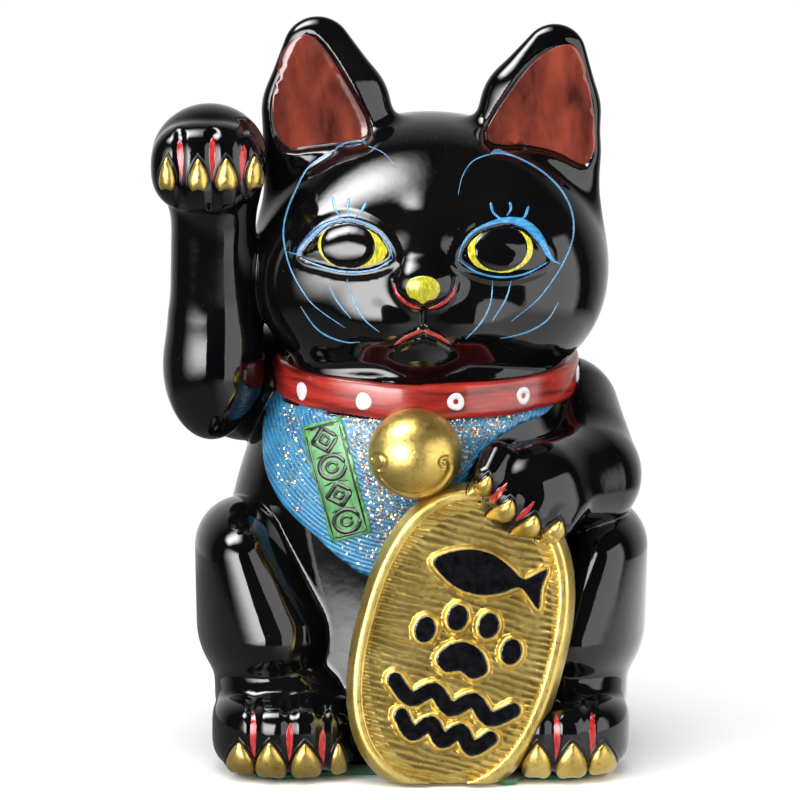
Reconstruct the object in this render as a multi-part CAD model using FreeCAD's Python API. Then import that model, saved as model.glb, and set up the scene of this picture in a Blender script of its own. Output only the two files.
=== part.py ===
"""Beckoning cat figurine, a hollow glazed stoneware coin bank, as separate solids.

The cat sits upright and faces -Y, with its own right paw (-X) raised and its left paw (+X) on a big
oval coin. The castings (torso, head, arms, feet, tail, coin) are luted together before firing, the
enamelled pieces (collar, bib, charm, claws, eyes and so on) stand proud of the glaze, a rubber stopper
closes the drain hole in the base, and a felt pad protects the shelf. Millimetres, +Z up, with the
origin on the shelf under the middle of the body.
"""

import math
import os

import FreeCAD
import Part

OUT = "parts"

# Driving dimensions.
WALL = 5.0                      # thickness of the hollow castings
PAD = 1.5                       # felt pad under the base, so the casting starts at this height
NECK_Z = 150.0                  # the plane where the head casting is luted to the torso
NECK = (2.0, -3.0)              # centre of the neck
NECK_R = (56.0, 53.0)
ENAMEL = 1.2                    # how far the bib stands out of the glaze
BEYOND = 200.0                  # longer than anything, for tools that cut right through
SLIVER = 0.5                    # cuts can leave crumbs; a solid of fewer cubic millimetres is dropped

# Torso rings: height, half width, half depth, centre in y.
TORSO = [
    (PAD, 70, 58, 0),
    (30, 78, 66, 1),
    (60, 80, 68, 2),
    (90, 77, 66, 2),
    (120, 70, 62, 0),
    (138, 63, 58, -2),
    (NECK_Z, NECK_R[0], NECK_R[1], NECK[1]),
]
HAUNCH_C = (56.0, -8.0, 67.0)   # mirrored for the other side
HAUNCH_R = (34.5, 60.0, 50.0)

SKULL_C = (4.0, -6.0, 200.0)
SKULL_R = (69.0, 61.0, 57.0)
CHEEK_C = (29.5, -20.0, 192.0)  # x is measured from the middle of the skull
CHEEK_R = (41.0, 44.0, 38.0)
MUZZLE_C = (2.0, -51.0, 186.0)
MUZZLE_R = (30.0, 19.0, 25.0)

# Ears: base centre, base radius, tip centre, tip radius; flattened front to back.
EARS = {
    "right": ((-34.5, -12.0, 243.0), 28.0, (-40.5, -12.0, 285.0), 10.5),
    "left": ((44.0, -12.0, 240.0), 27.5, (53.5, -12.0, 281.0), 10.5),
}
EAR_FLAT = 0.5
EAR_POCKET_Y = -18.0            # the floor of the hollow in the front of each ear
EAR_LINING = 1.5
EAR_RIM = 5.5

# Arms: rows of (start, start radius, end, end radius), each a tapered round-ended limb.
RAISED_ARM = [
    ((-75.5, -18.0, 120.5), 17.5, (-83.0, -30.0, 222.0), 17.0),
    ((-70.0, -11.0, 123.0), 15.0, (-53.0, 10.0, 128.0), 23.0),
]
RAISED_PAW = ((-85.6, -33.0, 243.5), (22.6, 24.0, 22.4))    # centre and radii
LOWERED_ARM = [
    ((56.0, 4.0, 130.0), 24.0, (66.0, -26.0, 112.0), 20.5),
    ((61.0, -33.0, 113.0), 18.0, (40.0, -60.0, 117.5), 17.0),
]
LOWERED_PAW = ((37.0, -71.0, 109.0), (19.5, 15.0, 15.0))

FOOT = (55.0, 64.0, 33.0)       # width, length, height
FOOT_X = 28.0                   # inner side of each foot
FOOT_FRONT = -86.0
FOOT_CORNER = 22.0
FOOT_TOP_ROUND = 13.0

# The tail: limbs like those of the arms.
TAIL = [
    ((14.0, 60.0, 17.0), 12.0, (40.0, 56.0, 24.0), 12.5),
    ((42.0, 55.0, 28.0), 10.5, (50.0, 48.0, 44.0), 10.0),
]

# The coin: an oval plate leaning back and tipped towards the cat's left.
COIN_C = (19.0, -78.0, 59.5)
COIN_HALF = (42.0, 62.0)
COIN_THICK = 9.0
COIN_DRAFT = 3.5                # the front is this much smaller all round, so that the mould draws
COIN_TIP = 14.5                 # degrees, in the plane of the plate
COIN_LEAN = 8.0                 # degrees, backwards
COIN_RIM = 3.0
COIN_FIELD = 1.0                # depth of the field inside the rim
MARK_RISE = 1.4
WAVE_R = 3.2                    # half the width of a wave
WAVES = {-26.0: 25.0, -38.0: 19.0}      # height on the coin and half length
TOES = [(-17.0, -3.0), (-6.5, 5.0), (6.5, 5.0), (17.0, -3.0)]
TOE_HALF = (4.3, 5.5)
PALM = ((0.0, -10.0), (10.0, 6.5))      # centre and half size
FISH = ((-1.0, 24.0), 20.0, 8.5)        # centre, half length and half height
FISH_TAIL = 8.0

BELL_C = (-2.5, -66.0, 129.5)
BELL_R = 18.5
BELL_GROOVE = 0.9
BELL_GROOVE_TIP = 28.0          # degrees that the groove dips at the front

COLLAR_Z = 152.0
COLLAR_TIP = 4.0                # degrees, lower at the front
COLLAR_HALF_H = 7.5
COLLAR_THICK = 5.0
COLLAR_BEVEL = 2.0
DOTS = 12
DOT_R = 2.8
DOT_RISE = 0.6
DOT_START = 8.0                 # degrees from straight ahead

BIB_C = (-3.0, 140.0)           # x and z of the oval
BIB_HALF = (58.0, 66.0)
CHARM = (16.0, 47.0)            # width and length
CHARM_C = (-33.0, 116.5)
CHARM_TIP = 15.0                # degrees
CHARM_THICK = 0.8

EYES = {"right": (-27.0, 212.0), "left": (33.0, 211.0)}     # x and z
EYE_R = (14.5, 6.0, 11.5)
NOSE = (1.6, 197.0)             # x and z
NOSE_R = (6.5, 3.0, 5.0)
MOUTH = (0.5, 176.0)            # x and z of the peak of the lips
LIP_ENDS = (15.0, 171.5)        # x from the peak, and z
LIP_R = 1.8

# Claws: each runs from a ball of the first radius to a tip of the second, along the offset.
RAISED_CLAW = (3.7, 1.2, (0.0, 1.5, 7.0))
RAISED_CLAWS = [(-101.5, -48.5, 234.5), (-89.5, -55.5, 234.5), (-77.5, -55.5, 234.0), (-66.5, -48.0, 234.0)]
LOWERED_CLAW = (4.8, 1.6, (3.5, 2.0, 4.5))
LOWERED_CLAWS = [(22.5, -81.0, 113.5), (30.0, -84.5, 105.5), (39.5, -84.0, 99.0), (50.0, -79.0, 96.0)]
FOOT_CLAW = (6.0, 1.2, (0.0, 1.5, 7.5))
FOOT_CLAWS = [(-22.5, 9.0), (-8.0, 1.5), (8.0, 1.5), (22.5, 9.0)]   # x from the middle, and how far back

HOLE_C = (0.0, 22.0)            # the drain hole in the base
HOLE_R = 14.0
HOLE_GAP = 0.05
RECESS_R = 18.2
RECESS_TOP = 4.7
BASE_FLOOR = 8.0
FLANGE_R = 17.5
FLANGE = (1.8, 4.5)             # bottom and top of the stopper's flange
PLUG_TIP = 5.0                  # how far the plug's tapered end stands above the floor
PULL = (20.0, 3.0, 0.4)         # the pull bar's length, width and bottom

# Half of the felt pad's outline, from the front round to the back.
FELT_HALF = [(32.0, -84.0), (60.0, -80.0), (77.0, -62.0), (74.0, -28.0), (69.0, 8.0), (54.0, 40.0), (27.0, 54.0)]
FELT_FRONT = -78.0
FELT_BACK = 57.0
FELT_CLEAR = 0.5

SLOT = (36.0, 5.2)              # coin slot, width and height
SLOT_Z = 124.0
SLOT_START_Y = 20.0


def vec(p):
    return FreeCAD.Vector(*p)


def moved(shape, offset):
    copy = shape.copy()
    copy.translate(vec(offset))
    return copy


def scaled(shape, factors):
    matrix = FreeCAD.Matrix()
    matrix.scale(*factors)
    return shape.transformGeometry(matrix)


def ellipsoid(centre, radii):
    return moved(scaled(Part.makeSphere(1.0), radii), centre)


def fused(shapes):
    first, *rest = shapes
    return first.fuse(rest).removeSplitter() if rest else first


def ring(z, half_width, half_depth, centre_y, points=16):
    """A closed smooth oval at one height."""
    turn = 2 * math.pi / points
    around = [
        vec((half_width * math.cos(turn * i), centre_y + half_depth * math.sin(turn * i), z))
        for i in range(points)
    ]
    curve = Part.BSplineCurve()
    curve.interpolate(Points=around, PeriodicFlag=True)
    return Part.Wire([curve.toShape()])


def torso_loft(grow=0.0):
    """The pear-shaped trunk, with its sides moved out by grow."""
    return Part.makeLoft([ring(z, w + grow, d + grow, y) for z, w, d, y in TORSO], True, False)


def limb(start, r_start, end, r_end):
    """Two spheres joined by the cone that touches both."""
    a, b = vec(start), vec(end)
    length = (b - a).Length
    s = (r_start - r_end) / length
    c = math.sqrt(1 - s * s)

    def on(centre, radius, along, out):
        return vec((radius * out, 0, centre + radius * along))

    def arc(centre, radius, first, last):
        middle = (first + last) / 2
        ends = [on(centre, radius, math.cos(t), math.sin(t)) for t in (first, middle, last)]
        return Part.Arc(*ends).toShape()

    tangent = math.acos(s)
    profile = [
        arc(0, r_start, math.pi, tangent),
        Part.makeLine(on(0, r_start, s, c), on(length, r_end, s, c)),
        arc(length, r_end, tangent, 0.0),
        Part.makeLine(vec((0, 0, length + r_end)), vec((0, 0, -r_start))),
    ]
    solid = Part.Face(Part.Wire(profile)).revolve(vec((0, 0, 0)), vec((0, 0, 1)), 360)
    solid.Placement = FreeCAD.Placement(a, FreeCAD.Rotation(vec((0, 0, 1)), b - a))
    return solid


def oval_prism(half_width, half_height, front, back):
    """An upright oval plate in the XZ plane, from y = front to y = back."""
    face = scaled(Part.Face(Part.Wire([Part.makeCircle(1.0, vec((0, 0, 0)), vec((0, 1, 0)))])),
                  (half_width, 1.0, half_height))
    return moved(face, (0, front, 0)).extrude(vec((0, back - front, 0)))


def haunches(shrink=0.0):
    x, y, z = HAUNCH_C
    radii = [r - shrink for r in HAUNCH_R]
    return [ellipsoid((side * x, y, z), radii) for side in (-1, 1)]


def above(shape, z):
    """The part of a shape above a height."""
    return shape.common(Part.makeBox(2 * BEYOND, 2 * BEYOND, BEYOND * 2, vec((-BEYOND, -BEYOND, z))))


def trunk():
    return above(fused([torso_loft()] + haunches()), PAD)


def skull_parts(shrink=0.0):
    x, y, z = SKULL_C
    parts = [ellipsoid(SKULL_C, [r - shrink for r in SKULL_R])]
    for side in (-1, 1):
        centre = (x + side * CHEEK_C[0], CHEEK_C[1], CHEEK_C[2])
        parts.append(ellipsoid(centre, [r - shrink for r in CHEEK_R]))
    return parts


def neck_plug(shrink=0.0):
    """The short oval neck that stands on the torso inside the collar."""
    plug = scaled(Part.makeCylinder(1.0, 1.0), (NECK_R[0] - shrink, NECK_R[1] - shrink, 14.0))
    return moved(plug, (NECK[0], NECK[1], NECK_Z))


def ear(name, shrink=0.0):
    base, r_base, tip, r_tip = EARS[name]
    upright = limb((base[0], 0, base[2]), r_base - shrink, (tip[0], 0, tip[2]), r_tip - shrink)
    return moved(scaled(upright, (1.0, EAR_FLAT, 1.0)), (0, base[1], 0))


def ear_hollow(name, back):
    """The rounded triangle cut into the front of an ear, as far back as y = back."""
    base, r_base, tip, r_tip = EARS[name]
    lean = (tip[0] - base[0]) / (tip[2] - base[2])
    floor_rise = 8.0
    centre = base[0] + lean * floor_rise
    floor_z = base[2] + floor_rise
    half = r_base - EAR_RIM - 3.0
    top = vec((tip[0], 0, tip[2] + r_tip - 1.5 * EAR_RIM))
    left = vec((centre - half, 0, floor_z))
    right = vec((centre + half, 0, floor_z))
    bulge = 3.5
    outline = [
        Part.Arc(left, (left + right) / 2 - vec((0, 0, bulge)), right).toShape(),
        Part.Arc(right, (right + top) / 2 + vec((bulge, 0, bulge)), top).toShape(),
        Part.Arc(top, (left + top) / 2 + vec((-bulge, 0, bulge)), left).toShape(),
    ]
    face = moved(Part.Face(Part.Wire(outline)), (0, -BEYOND / 4, 0))
    return face.extrude(vec((0, back + BEYOND / 4, 0)))


def head_outer():
    muzzle = ellipsoid(MUZZLE_C, MUZZLE_R)
    return above(fused(skull_parts() + [muzzle, neck_plug(), ear("right"), ear("left")]), NECK_Z)


def head_shell():
    head = head_outer().cut(fused(skull_parts(WALL) + [neck_plug(WALL)]))
    for name in EARS:
        head = head.cut(ear_hollow(name, EAR_POCKET_Y + EAR_LINING))
    return head


def ear_lining(name):
    front = ear_hollow(name, EAR_POCKET_Y)
    return ear_hollow(name, EAR_POCKET_Y + EAR_LINING).cut(front)


def limbs(rows, shrink=0.0):
    return [limb(start, r0 - shrink, end, r1 - shrink) for start, r0, end, r1 in rows]


def paw(place, shrink=0.0):
    centre, radii = place
    return ellipsoid(centre, [r - shrink for r in radii])


def raised_arm():
    return fused(limbs(RAISED_ARM) + [paw(RAISED_PAW)])


def raised_arm_room():
    """The hollow inside the raised arm and its paw."""
    return limbs(RAISED_ARM, WALL) + [paw(RAISED_PAW, WALL)]


def lowered_arm():
    return fused(limbs(LOWERED_ARM) + [paw(LOWERED_PAW)])


def foot(side):
    """A block with rounded corners and top; side is -1 for the cat's right foot."""
    width, length, height = FOOT
    x = FOOT_X if side > 0 else -FOOT_X - width
    block = Part.makeBox(width, length, height - PAD, vec((x, FOOT_FRONT, PAD)))
    upright = [e for e in block.Edges if abs(e.BoundBox.ZLength - (height - PAD)) < 0.01]
    rounded = block.makeFillet(FOOT_CORNER, upright)
    top = [e for e in rounded.Edges if e.BoundBox.ZMin > height - 0.01]
    return rounded.makeFillet(FOOT_TOP_ROUND, top)


def tail():
    """A short tail that lies against the back and curls up at its end."""
    return above(fused(limbs(TAIL)), PAD)


def on_coin(shape):
    """Moves a shape from the coin's own frame, where it stands upright facing -Y, to its place."""
    tip = FreeCAD.Rotation(vec((0, 1, 0)), COIN_TIP)
    lean = FreeCAD.Rotation(vec((1, 0, 0)), -COIN_LEAN)
    copy = shape.copy()
    copy.Placement = FreeCAD.Placement(vec(COIN_C), lean.multiply(tip)).multiply(copy.Placement)
    return copy


def oval_wire(half_width, half_height, y):
    major, minor = (half_height, half_width)
    oval = Part.Ellipse(vec((0, y, major)), vec((minor, y, 0)), vec((0, y, 0)))
    return Part.Wire([oval.toShape()])


def coin_plate(front_y):
    """The coin with its drafted side and no field, as far forward as front_y."""
    w, h = COIN_HALF
    back = oval_wire(w, h, COIN_THICK / 2)
    front = oval_wire(w - COIN_DRAFT, h - COIN_DRAFT, front_y)
    return Part.makeLoft([back, front], True, True)


def coin_blank():
    """The coin with its face sunk inside a rim."""
    inset = COIN_DRAFT + COIN_RIM
    half_width, half_height = [half - inset for half in COIN_HALF]
    field = oval_prism(half_width, half_height, -COIN_THICK, -COIN_THICK / 2 + COIN_FIELD)
    return coin_plate(-COIN_THICK / 2).cut(field)


def mark_span():
    """The y of the coin's field and of the top of its relief."""
    field = -COIN_THICK / 2 + COIN_FIELD
    return field, field - MARK_RISE


def oval_mark(centre, half):
    floor, top = mark_span()
    return moved(oval_prism(half[0], half[1], top, floor), (centre[0], 0, centre[1]))


def wavy_mark(z, half_length):
    """A zigzag with round corners and ends."""
    floor, top = mark_span()
    xs = [half_length * k / 3 for k in range(-3, 4)]
    points = [(x, z + (2.5 if i % 2 else -2.5)) for i, x in enumerate(xs)]
    pieces = [Part.makeCylinder(WAVE_R, floor - top, vec((x, top, h)), vec((0, 1, 0))) for x, h in points]
    for (x0, z0), (x1, z1) in zip(points, points[1:]):
        a, b = vec((x0, top, z0)), vec((x1, top, z1))
        along = (b - a).normalize()
        side = vec((along.z, 0, -along.x)) * WAVE_R
        corners = Part.makePolygon([a + side, b + side, b - side, a - side, a + side])
        pieces.append(Part.Face(corners).extrude(vec((0, floor - top, 0))))
    return fused(pieces)


def fish_mark():
    """A fish: a pointed oval with a triangular tail."""
    (x, z), half_length, half_height = FISH
    floor, top = mark_span()
    nose, root = vec((x - half_length, top, z)), vec((x + half_length, top, z))
    arcs = [
        Part.Arc(nose, vec((x, top, z + half_height)), root).toShape(),
        Part.Arc(root, vec((x, top, z - half_height)), nose).toShape(),
    ]
    body = Part.Face(Part.Wire(arcs))
    start = root - vec((5, 0, 0))
    tips = [root + vec((FISH_TAIL, 0, side * FISH_TAIL)) for side in (-1, 1)]
    tail_face = Part.Face(Part.makePolygon([start, tips[0], tips[1], start]))
    through = vec((0, floor - top, 0))
    return fused([body.extrude(through), tail_face.extrude(through)])


def coin_relief():
    """Three made-up ornaments that say nothing: a fish, a paw print and waves."""
    marks = [fish_mark(), oval_mark(*PALM)]
    marks += [oval_mark(toe, TOE_HALF) for toe in TOES]
    marks += [wavy_mark(z, half_length) for z, half_length in WAVES.items()]
    return Part.makeCompound(marks)


def bell():
    """A round jingle bell, with a groove round it that dips at the front like the bell's slot."""
    ball = moved(Part.makeSphere(BELL_R), BELL_C)
    groove = Part.makeTorus(BELL_R, BELL_GROOVE)
    groove.rotate(vec((0, 0, 0)), vec((1, 0, 0)), BELL_GROOVE_TIP)
    return ball.cut(moved(groove, BELL_C))


def on_neck(shape):
    """Tips a shape forward about the middle of the collar."""
    copy = shape.copy()
    copy.rotate(vec((NECK[0], NECK[1], COLLAR_Z)), vec((1, 0, 0)), COLLAR_TIP)
    return copy


def collar_ring():
    """A bevelled oval band, tipped forward."""
    low, high = COLLAR_Z - COLLAR_HALF_H, COLLAR_Z + COLLAR_HALF_H
    inner = NECK_R[0] - 2.0
    outer = NECK_R[0] + COLLAR_THICK
    profile = Part.makePolygon([
        vec((inner, 0, low)),
        vec((outer - COLLAR_BEVEL, 0, low)),
        vec((outer, 0, low + COLLAR_BEVEL)),
        vec((outer, 0, high - COLLAR_BEVEL)),
        vec((outer - COLLAR_BEVEL, 0, high)),
        vec((inner, 0, high)),
        vec((inner, 0, low)),
    ])
    band = Part.Face(profile).revolve(vec((0, 0, 0)), vec((0, 0, 1)), 360)
    oval = scaled(band, (1.0, NECK_R[1] / NECK_R[0], 1.0))
    return on_neck(moved(oval, (NECK[0], NECK[1], 0)))


def collar_dots():
    """Flat enamel spots all round the collar."""
    dots = []
    reach = NECK_R[0] + COLLAR_THICK
    squash = NECK_R[1] / NECK_R[0]
    for i in range(DOTS):
        a = math.radians(DOT_START + 360.0 / DOTS * i)
        out = vec((math.sin(a) * squash, -math.cos(a), 0)).normalize()
        place = vec((NECK[0] + reach * math.sin(a), NECK[1] - reach * squash * math.cos(a), COLLAR_Z))
        dots.append(Part.makeCylinder(DOT_R, 2.0 + DOT_RISE, place - out * 2.0, out))
    return on_neck(Part.makeCompound(dots))


def bib_layer(inner, outer):
    """The torso's surface between two offsets, as a sheet."""
    return torso_loft(outer).cut(torso_loft(inner))


def bib():
    outline = moved(oval_prism(BIB_HALF[0], BIB_HALF[1], -BEYOND, -12.0), (BIB_C[0], 0, BIB_C[1]))
    return above(bib_layer(0.0, ENAMEL).common(outline), PAD)


def charm_label():
    plate = Part.makeBox(CHARM[0], BEYOND, CHARM[1], vec((-CHARM[0] / 2, -BEYOND - 12, -CHARM[1] / 2)))
    plate.rotate(vec((0, 0, 0)), vec((0, 1, 0)), -CHARM_TIP)
    plate = moved(plate, (CHARM_C[0], 0, CHARM_C[1]))
    return bib_layer(ENAMEL, ENAMEL + CHARM_THICK).common(plate)


def face_y(x, z):
    """How far forward the skull, a cheek or the muzzle reaches at x and z."""
    sides = [(SKULL_C, SKULL_R), (MUZZLE_C, MUZZLE_R)]
    for side in (-1, 1):
        centre = (SKULL_C[0] + side * CHEEK_C[0], CHEEK_C[1], CHEEK_C[2])
        sides.append((centre, CHEEK_R))
    found = []
    for (cx, cy, cz), (rx, ry, rz) in sides:
        left = 1 - ((x - cx) / rx) ** 2 - ((z - cz) / rz) ** 2
        if left > 0:
            found.append(cy - ry * math.sqrt(left))
    return min(found)


def eye(name):
    x, z = EYES[name]
    return ellipsoid((x, face_y(x, z) + 2.5, z), EYE_R)


def lips():
    """Two short lips that meet at a peak under the nose."""
    x, z = MOUTH
    peak = (x, face_y(x, z), z)
    sides = []
    for side in (-1, 1):
        end_x = x + side * LIP_ENDS[0]
        end = (end_x, face_y(end_x, LIP_ENDS[1]), LIP_ENDS[1])
        sides.append(limb(peak, LIP_R, end, LIP_R * 0.7))
    return fused(sides)


def nose_pad():
    x, z = NOSE
    return ellipsoid((x, face_y(x, z), z), NOSE_R)


def claws(places, shape):
    """A group of pointed drops, all alike."""
    radius, tip_radius, offset = shape
    return Part.makeCompound([
        limb(place, radius, [p + o for p, o in zip(place, offset)], tip_radius) for place in places
    ])


def foot_claws(side):
    """Four claws round the front of a foot; the outer ones sit further back."""
    middle = side * (FOOT_X + FOOT[0] / 2)
    z = PAD + FOOT_CLAW[0] + 0.4
    return claws([(middle + x, FOOT_FRONT + back, z) for x, back in FOOT_CLAWS], FOOT_CLAW)


def stopper():
    """A rubber plug: a flange in the recess, a tapered plug in the hole and a pull bar."""
    x, y = HOLE_C
    low, high = FLANGE
    plug_r = HOLE_R - HOLE_GAP
    flange = Part.makeCylinder(FLANGE_R, high - low, vec((x, y, low)))
    plug = Part.makeCylinder(plug_r, BASE_FLOOR - high, vec((x, y, high)))
    tip = Part.makeCone(plug_r, plug_r - 1.5, PLUG_TIP, vec((x, y, BASE_FLOOR)))
    length, width, bottom = PULL
    pull = Part.makeBox(length, width, low - bottom, vec((x - length / 2, y - width / 2, bottom)))
    return fused([flange, plug, tip, pull])


def drain():
    """What the hole and its recess take out of the base."""
    x, y = HOLE_C
    hole = Part.makeCylinder(HOLE_R, BASE_FLOOR + 2, vec((x, y, -1)))
    recess = Part.makeCylinder(RECESS_R, RECESS_TOP + 1, vec((x, y, -1)))
    return fused([hole, recess])


def coin_slot():
    """A cutter for the slot through the upper back."""
    width, height = SLOT
    return Part.makeBox(width, BEYOND, height, vec((-width / 2, SLOT_START_Y, SLOT_Z - height / 2)))


def torso_shell(outer):
    room = above(fused([torso_loft(-WALL)] + haunches(WALL)), BASE_FLOOR)
    arm_rooms = limbs(RAISED_ARM, WALL) + limbs(LOWERED_ARM, WALL)
    return without(outer, [room, drain(), coin_slot()] + arm_rooms)


def felt_pad():
    """A felt sheet that follows the base, with room for the stopper."""
    right = [vec((x, y, 0)) for x, y in FELT_HALF]
    left = [vec((-x, y, 0)) for x, y in reversed(FELT_HALF)]
    curve = Part.BSplineCurve()
    around = [vec((0, FELT_FRONT, 0))] + right + [vec((0, FELT_BACK, 0))] + left
    curve.interpolate(Points=around, PeriodicFlag=True)
    sheet = Part.Face(Part.Wire([curve.toShape()])).extrude(vec((0, 0, PAD)))
    x, y = HOLE_C
    return sheet.cut(Part.makeCylinder(RECESS_R + FELT_CLEAR, PAD + 2, vec((x, y, -1))))


def without(shape, others):
    """The shape's solids, with each of the others cut out of every one."""
    kept = []
    for solid in shape.Solids:
        for other in others:
            solid = solid.cut(other)
        kept += solid.Solids
    return Part.makeCompound(kept)


def hosts():
    """The full outer shapes that the thinner pieces are cut back to."""
    return {
        "trunk": trunk(),
        "head": head_outer(),
        "raised": raised_arm(),
        "lowered": lowered_arm(),
        "right_foot": foot(-1),
        "left_foot": foot(1),
        "coin": above(on_coin(coin_plate(-COIN_THICK / 2)), PAD),
        "bell": bell(),
        "collar": collar_ring(),
    }


def castings(host):
    """The glazed stoneware pieces."""
    body = [host["trunk"], host["head"]]
    return {
        "torso_shell": torso_shell(host["trunk"]),
        "head_shell": head_shell(),
        "raised_arm": without(host["raised"], raised_arm_room() + body),
        "lowered_arm": without(host["lowered"], limbs(LOWERED_ARM, WALL) + body + [host["coin"]]),
        "right_foot": without(host["right_foot"], [host["trunk"]]),
        "left_foot": without(host["left_foot"], [host["trunk"], host["coin"]]),
        "tail": without(tail(), [host["trunk"]]),
        "oval_coin": without(above(on_coin(coin_blank()), PAD), [host["trunk"]]),
        "bell": without(host["bell"], body + [host["coin"]]),
    }


def neckwear(host):
    """The collar, bib and charm, with what they carry."""
    arms = [host["raised"], host["lowered"]]
    under = [host["trunk"], host["head"]]
    return {
        "collar": without(host["collar"], under + arms + [host["bell"]]),
        "collar_dots": without(collar_dots(), [host["collar"], host["head"], host["bell"]] + arms),
        "bib": without(bib(), [host["trunk"], host["collar"], host["bell"], host["coin"]] + arms),
        "charm_label": without(charm_label(), [host["trunk"], host["raised"], host["coin"]]),
    }


def face(host):
    """The enamelled pieces of the head."""
    pieces = {
        "nose_pad": without(nose_pad(), [host["head"]]),
        "lips": without(lips(), [host["head"]]),
    }
    for name in EARS:
        pieces[f"{name}_ear_lining"] = ear_lining(name)
        pieces[f"{name}_eye"] = without(eye(name), [host["head"]])
    return pieces


def claws_and_relief(host):
    """The gilt claws, and the relief that they lie in front of."""
    hand = claws(LOWERED_CLAWS, LOWERED_CLAW)
    right, left = foot_claws(-1), foot_claws(1)
    return {
        "raised_paw_claws": without(claws(RAISED_CLAWS, RAISED_CLAW), [host["raised"]]),
        "lowered_paw_claws": without(hand, [host["lowered"], host["coin"]]),
        "right_foot_claws": without(right, [host["right_foot"], host["coin"]]),
        "left_foot_claws": without(left, [host["left_foot"], host["coin"]]),
        "coin_relief": without(on_coin(coin_relief()), [host["lowered"], hand]),
    }


def fittings():
    """The pieces that aren't fired."""
    return {"base_stopper": stopper(), "felt_base_pad": felt_pad()}


def solid_group(shape):
    """The shape's solids, without the slivers that a cut can leave."""
    kept = [s for s in shape.Solids if s.Volume > SLIVER]
    return kept[0] if len(kept) == 1 else Part.makeCompound(kept)


def main():
    os.makedirs(OUT, exist_ok=True)
    host = hosts()
    pieces = castings(host) | neckwear(host) | face(host) | claws_and_relief(host) | fittings()
    for name, shape in pieces.items():
        group = solid_group(shape)
        print(f"{name}: {len(group.Solids)} solid(s), {group.Volume / 1000:.1f} cm3, valid {group.isValid()}")
        group.exportStep(os.path.join(OUT, f"{name}.step"))


main()
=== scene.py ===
import math

import bmesh
import bpy
import numpy as np
import openvdb
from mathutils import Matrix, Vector, geometry


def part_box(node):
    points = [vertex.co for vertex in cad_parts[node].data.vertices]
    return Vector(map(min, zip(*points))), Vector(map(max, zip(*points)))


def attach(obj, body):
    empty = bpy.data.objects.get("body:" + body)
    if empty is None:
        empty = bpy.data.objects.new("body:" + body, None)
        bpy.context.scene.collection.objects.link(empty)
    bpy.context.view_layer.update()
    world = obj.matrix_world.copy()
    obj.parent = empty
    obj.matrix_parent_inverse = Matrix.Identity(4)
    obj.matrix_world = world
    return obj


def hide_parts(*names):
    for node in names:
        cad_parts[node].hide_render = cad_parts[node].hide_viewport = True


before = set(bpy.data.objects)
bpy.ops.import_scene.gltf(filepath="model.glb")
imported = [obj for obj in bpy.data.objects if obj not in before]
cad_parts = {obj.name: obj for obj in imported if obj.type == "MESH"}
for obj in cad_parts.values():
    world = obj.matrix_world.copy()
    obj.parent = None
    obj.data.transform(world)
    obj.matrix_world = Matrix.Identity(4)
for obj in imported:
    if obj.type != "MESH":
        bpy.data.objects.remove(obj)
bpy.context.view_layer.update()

# Shapes are worked out in millimetres, in the CAD's frame, from the boxes of its nodes.
MM = 0.001
GLAZE_FILLET = 3.0      # how softly the luted castings run into one another
SEAM_REACH = 1.5        # how far a casting runs on under its neighbour
SEAM_DIP = 0.12         # how far it sinks there
COARSE = 1.0


def spot(node, x, y, z):
    """A point in a CAD node's box; 0 is its low side and 1 its high side along each axis."""
    low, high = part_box(node)
    return np.array([(low[i] + (high[i] - low[i]) * f) / MM for i, f in enumerate((x, y, z))])


HEAD = spot("head_shell", 0.5, 0.5, 0)
BODY = spot("torso_shell", 0.5, 0.5, 0)
RAISED = spot("raised_arm", 0, 0, 1)
LOWERED = spot("lowered_arm", 1, 0, 0)
FEET = {"right": spot("right_foot", 0.5, 0, 0), "left": spot("left_foot", 0.5, 0, 0)}
TAIL = spot("tail", 0.5, 0.5, 0)
NECK = spot("collar", 0.5, 0.5, 0.5)
HOLE = spot("base_stopper", 0.5, 0.5, 0)
BELL_R = (spot("bell", 1, 0, 0) - spot("bell", 0, 0, 0))[0] / 2
BELL = spot("bell", 0.5, 0, 0.5) + (0, BELL_R, 0)
COLLAR_HALF = (61.0, 58.0)              # the collar's outer half sizes, across and deep
COLLAR_TIP = math.radians(4.0)          # how far its front dips
COIN_HALF = (42.5, 63.5)                # the coin's half sizes, across and along
COIN_SHIFT = (-2.6, -4.0)               # from the coin's origin to its middle
COIN_POWER = 2.4                        # 2 would make it an ellipse
COIN_THICK = 9.0
COIN_DRAFT = 3.2                        # how much narrower all round it is behind
COIN_TIP = math.radians(14.5)           # how far its top leans to the cat's left
COIN_LEAN = math.radians(8.0)           # how far it leans back
COIN_DROP = 59.7                        # from its highest point down to its origin
COIN = spot("oval_coin", 0.5, 0.5, 1) - (0, 0, COIN_DROP)
FLOOR_Z = BODY[2]


# ---------------------------------------------------------------- distance fields

def soft_min(a, b, k):
    """The smaller of two distances, rounded over where they are within k of one another."""
    h = np.maximum(k - np.abs(a - b), 0.0) / k
    return np.minimum(a, b) - h * h * h * k / 6.0


def soft_max(a, b, k):
    return -soft_min(-a, -b, k)


def egg(p, centre, radii, power=2.0):
    """Distance, near enough, to an ellipsoid; a power above 2 squares it off."""
    r = np.asarray(radii, np.float32)
    q = np.abs(p - np.asarray(centre, np.float32)) / r + 1e-6
    if power == 2.0:
        size = np.sqrt((q * q).sum(-1))
        slope = np.sqrt(((q / r) ** 2).sum(-1)) / size
    else:
        size = (q ** power).sum(-1) ** (1.0 / power)
        slope = np.sqrt(((q ** (power - 1.0) / r) ** 2).sum(-1)) * size ** (1.0 - power)
    return (size - 1.0) / slope


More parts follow.
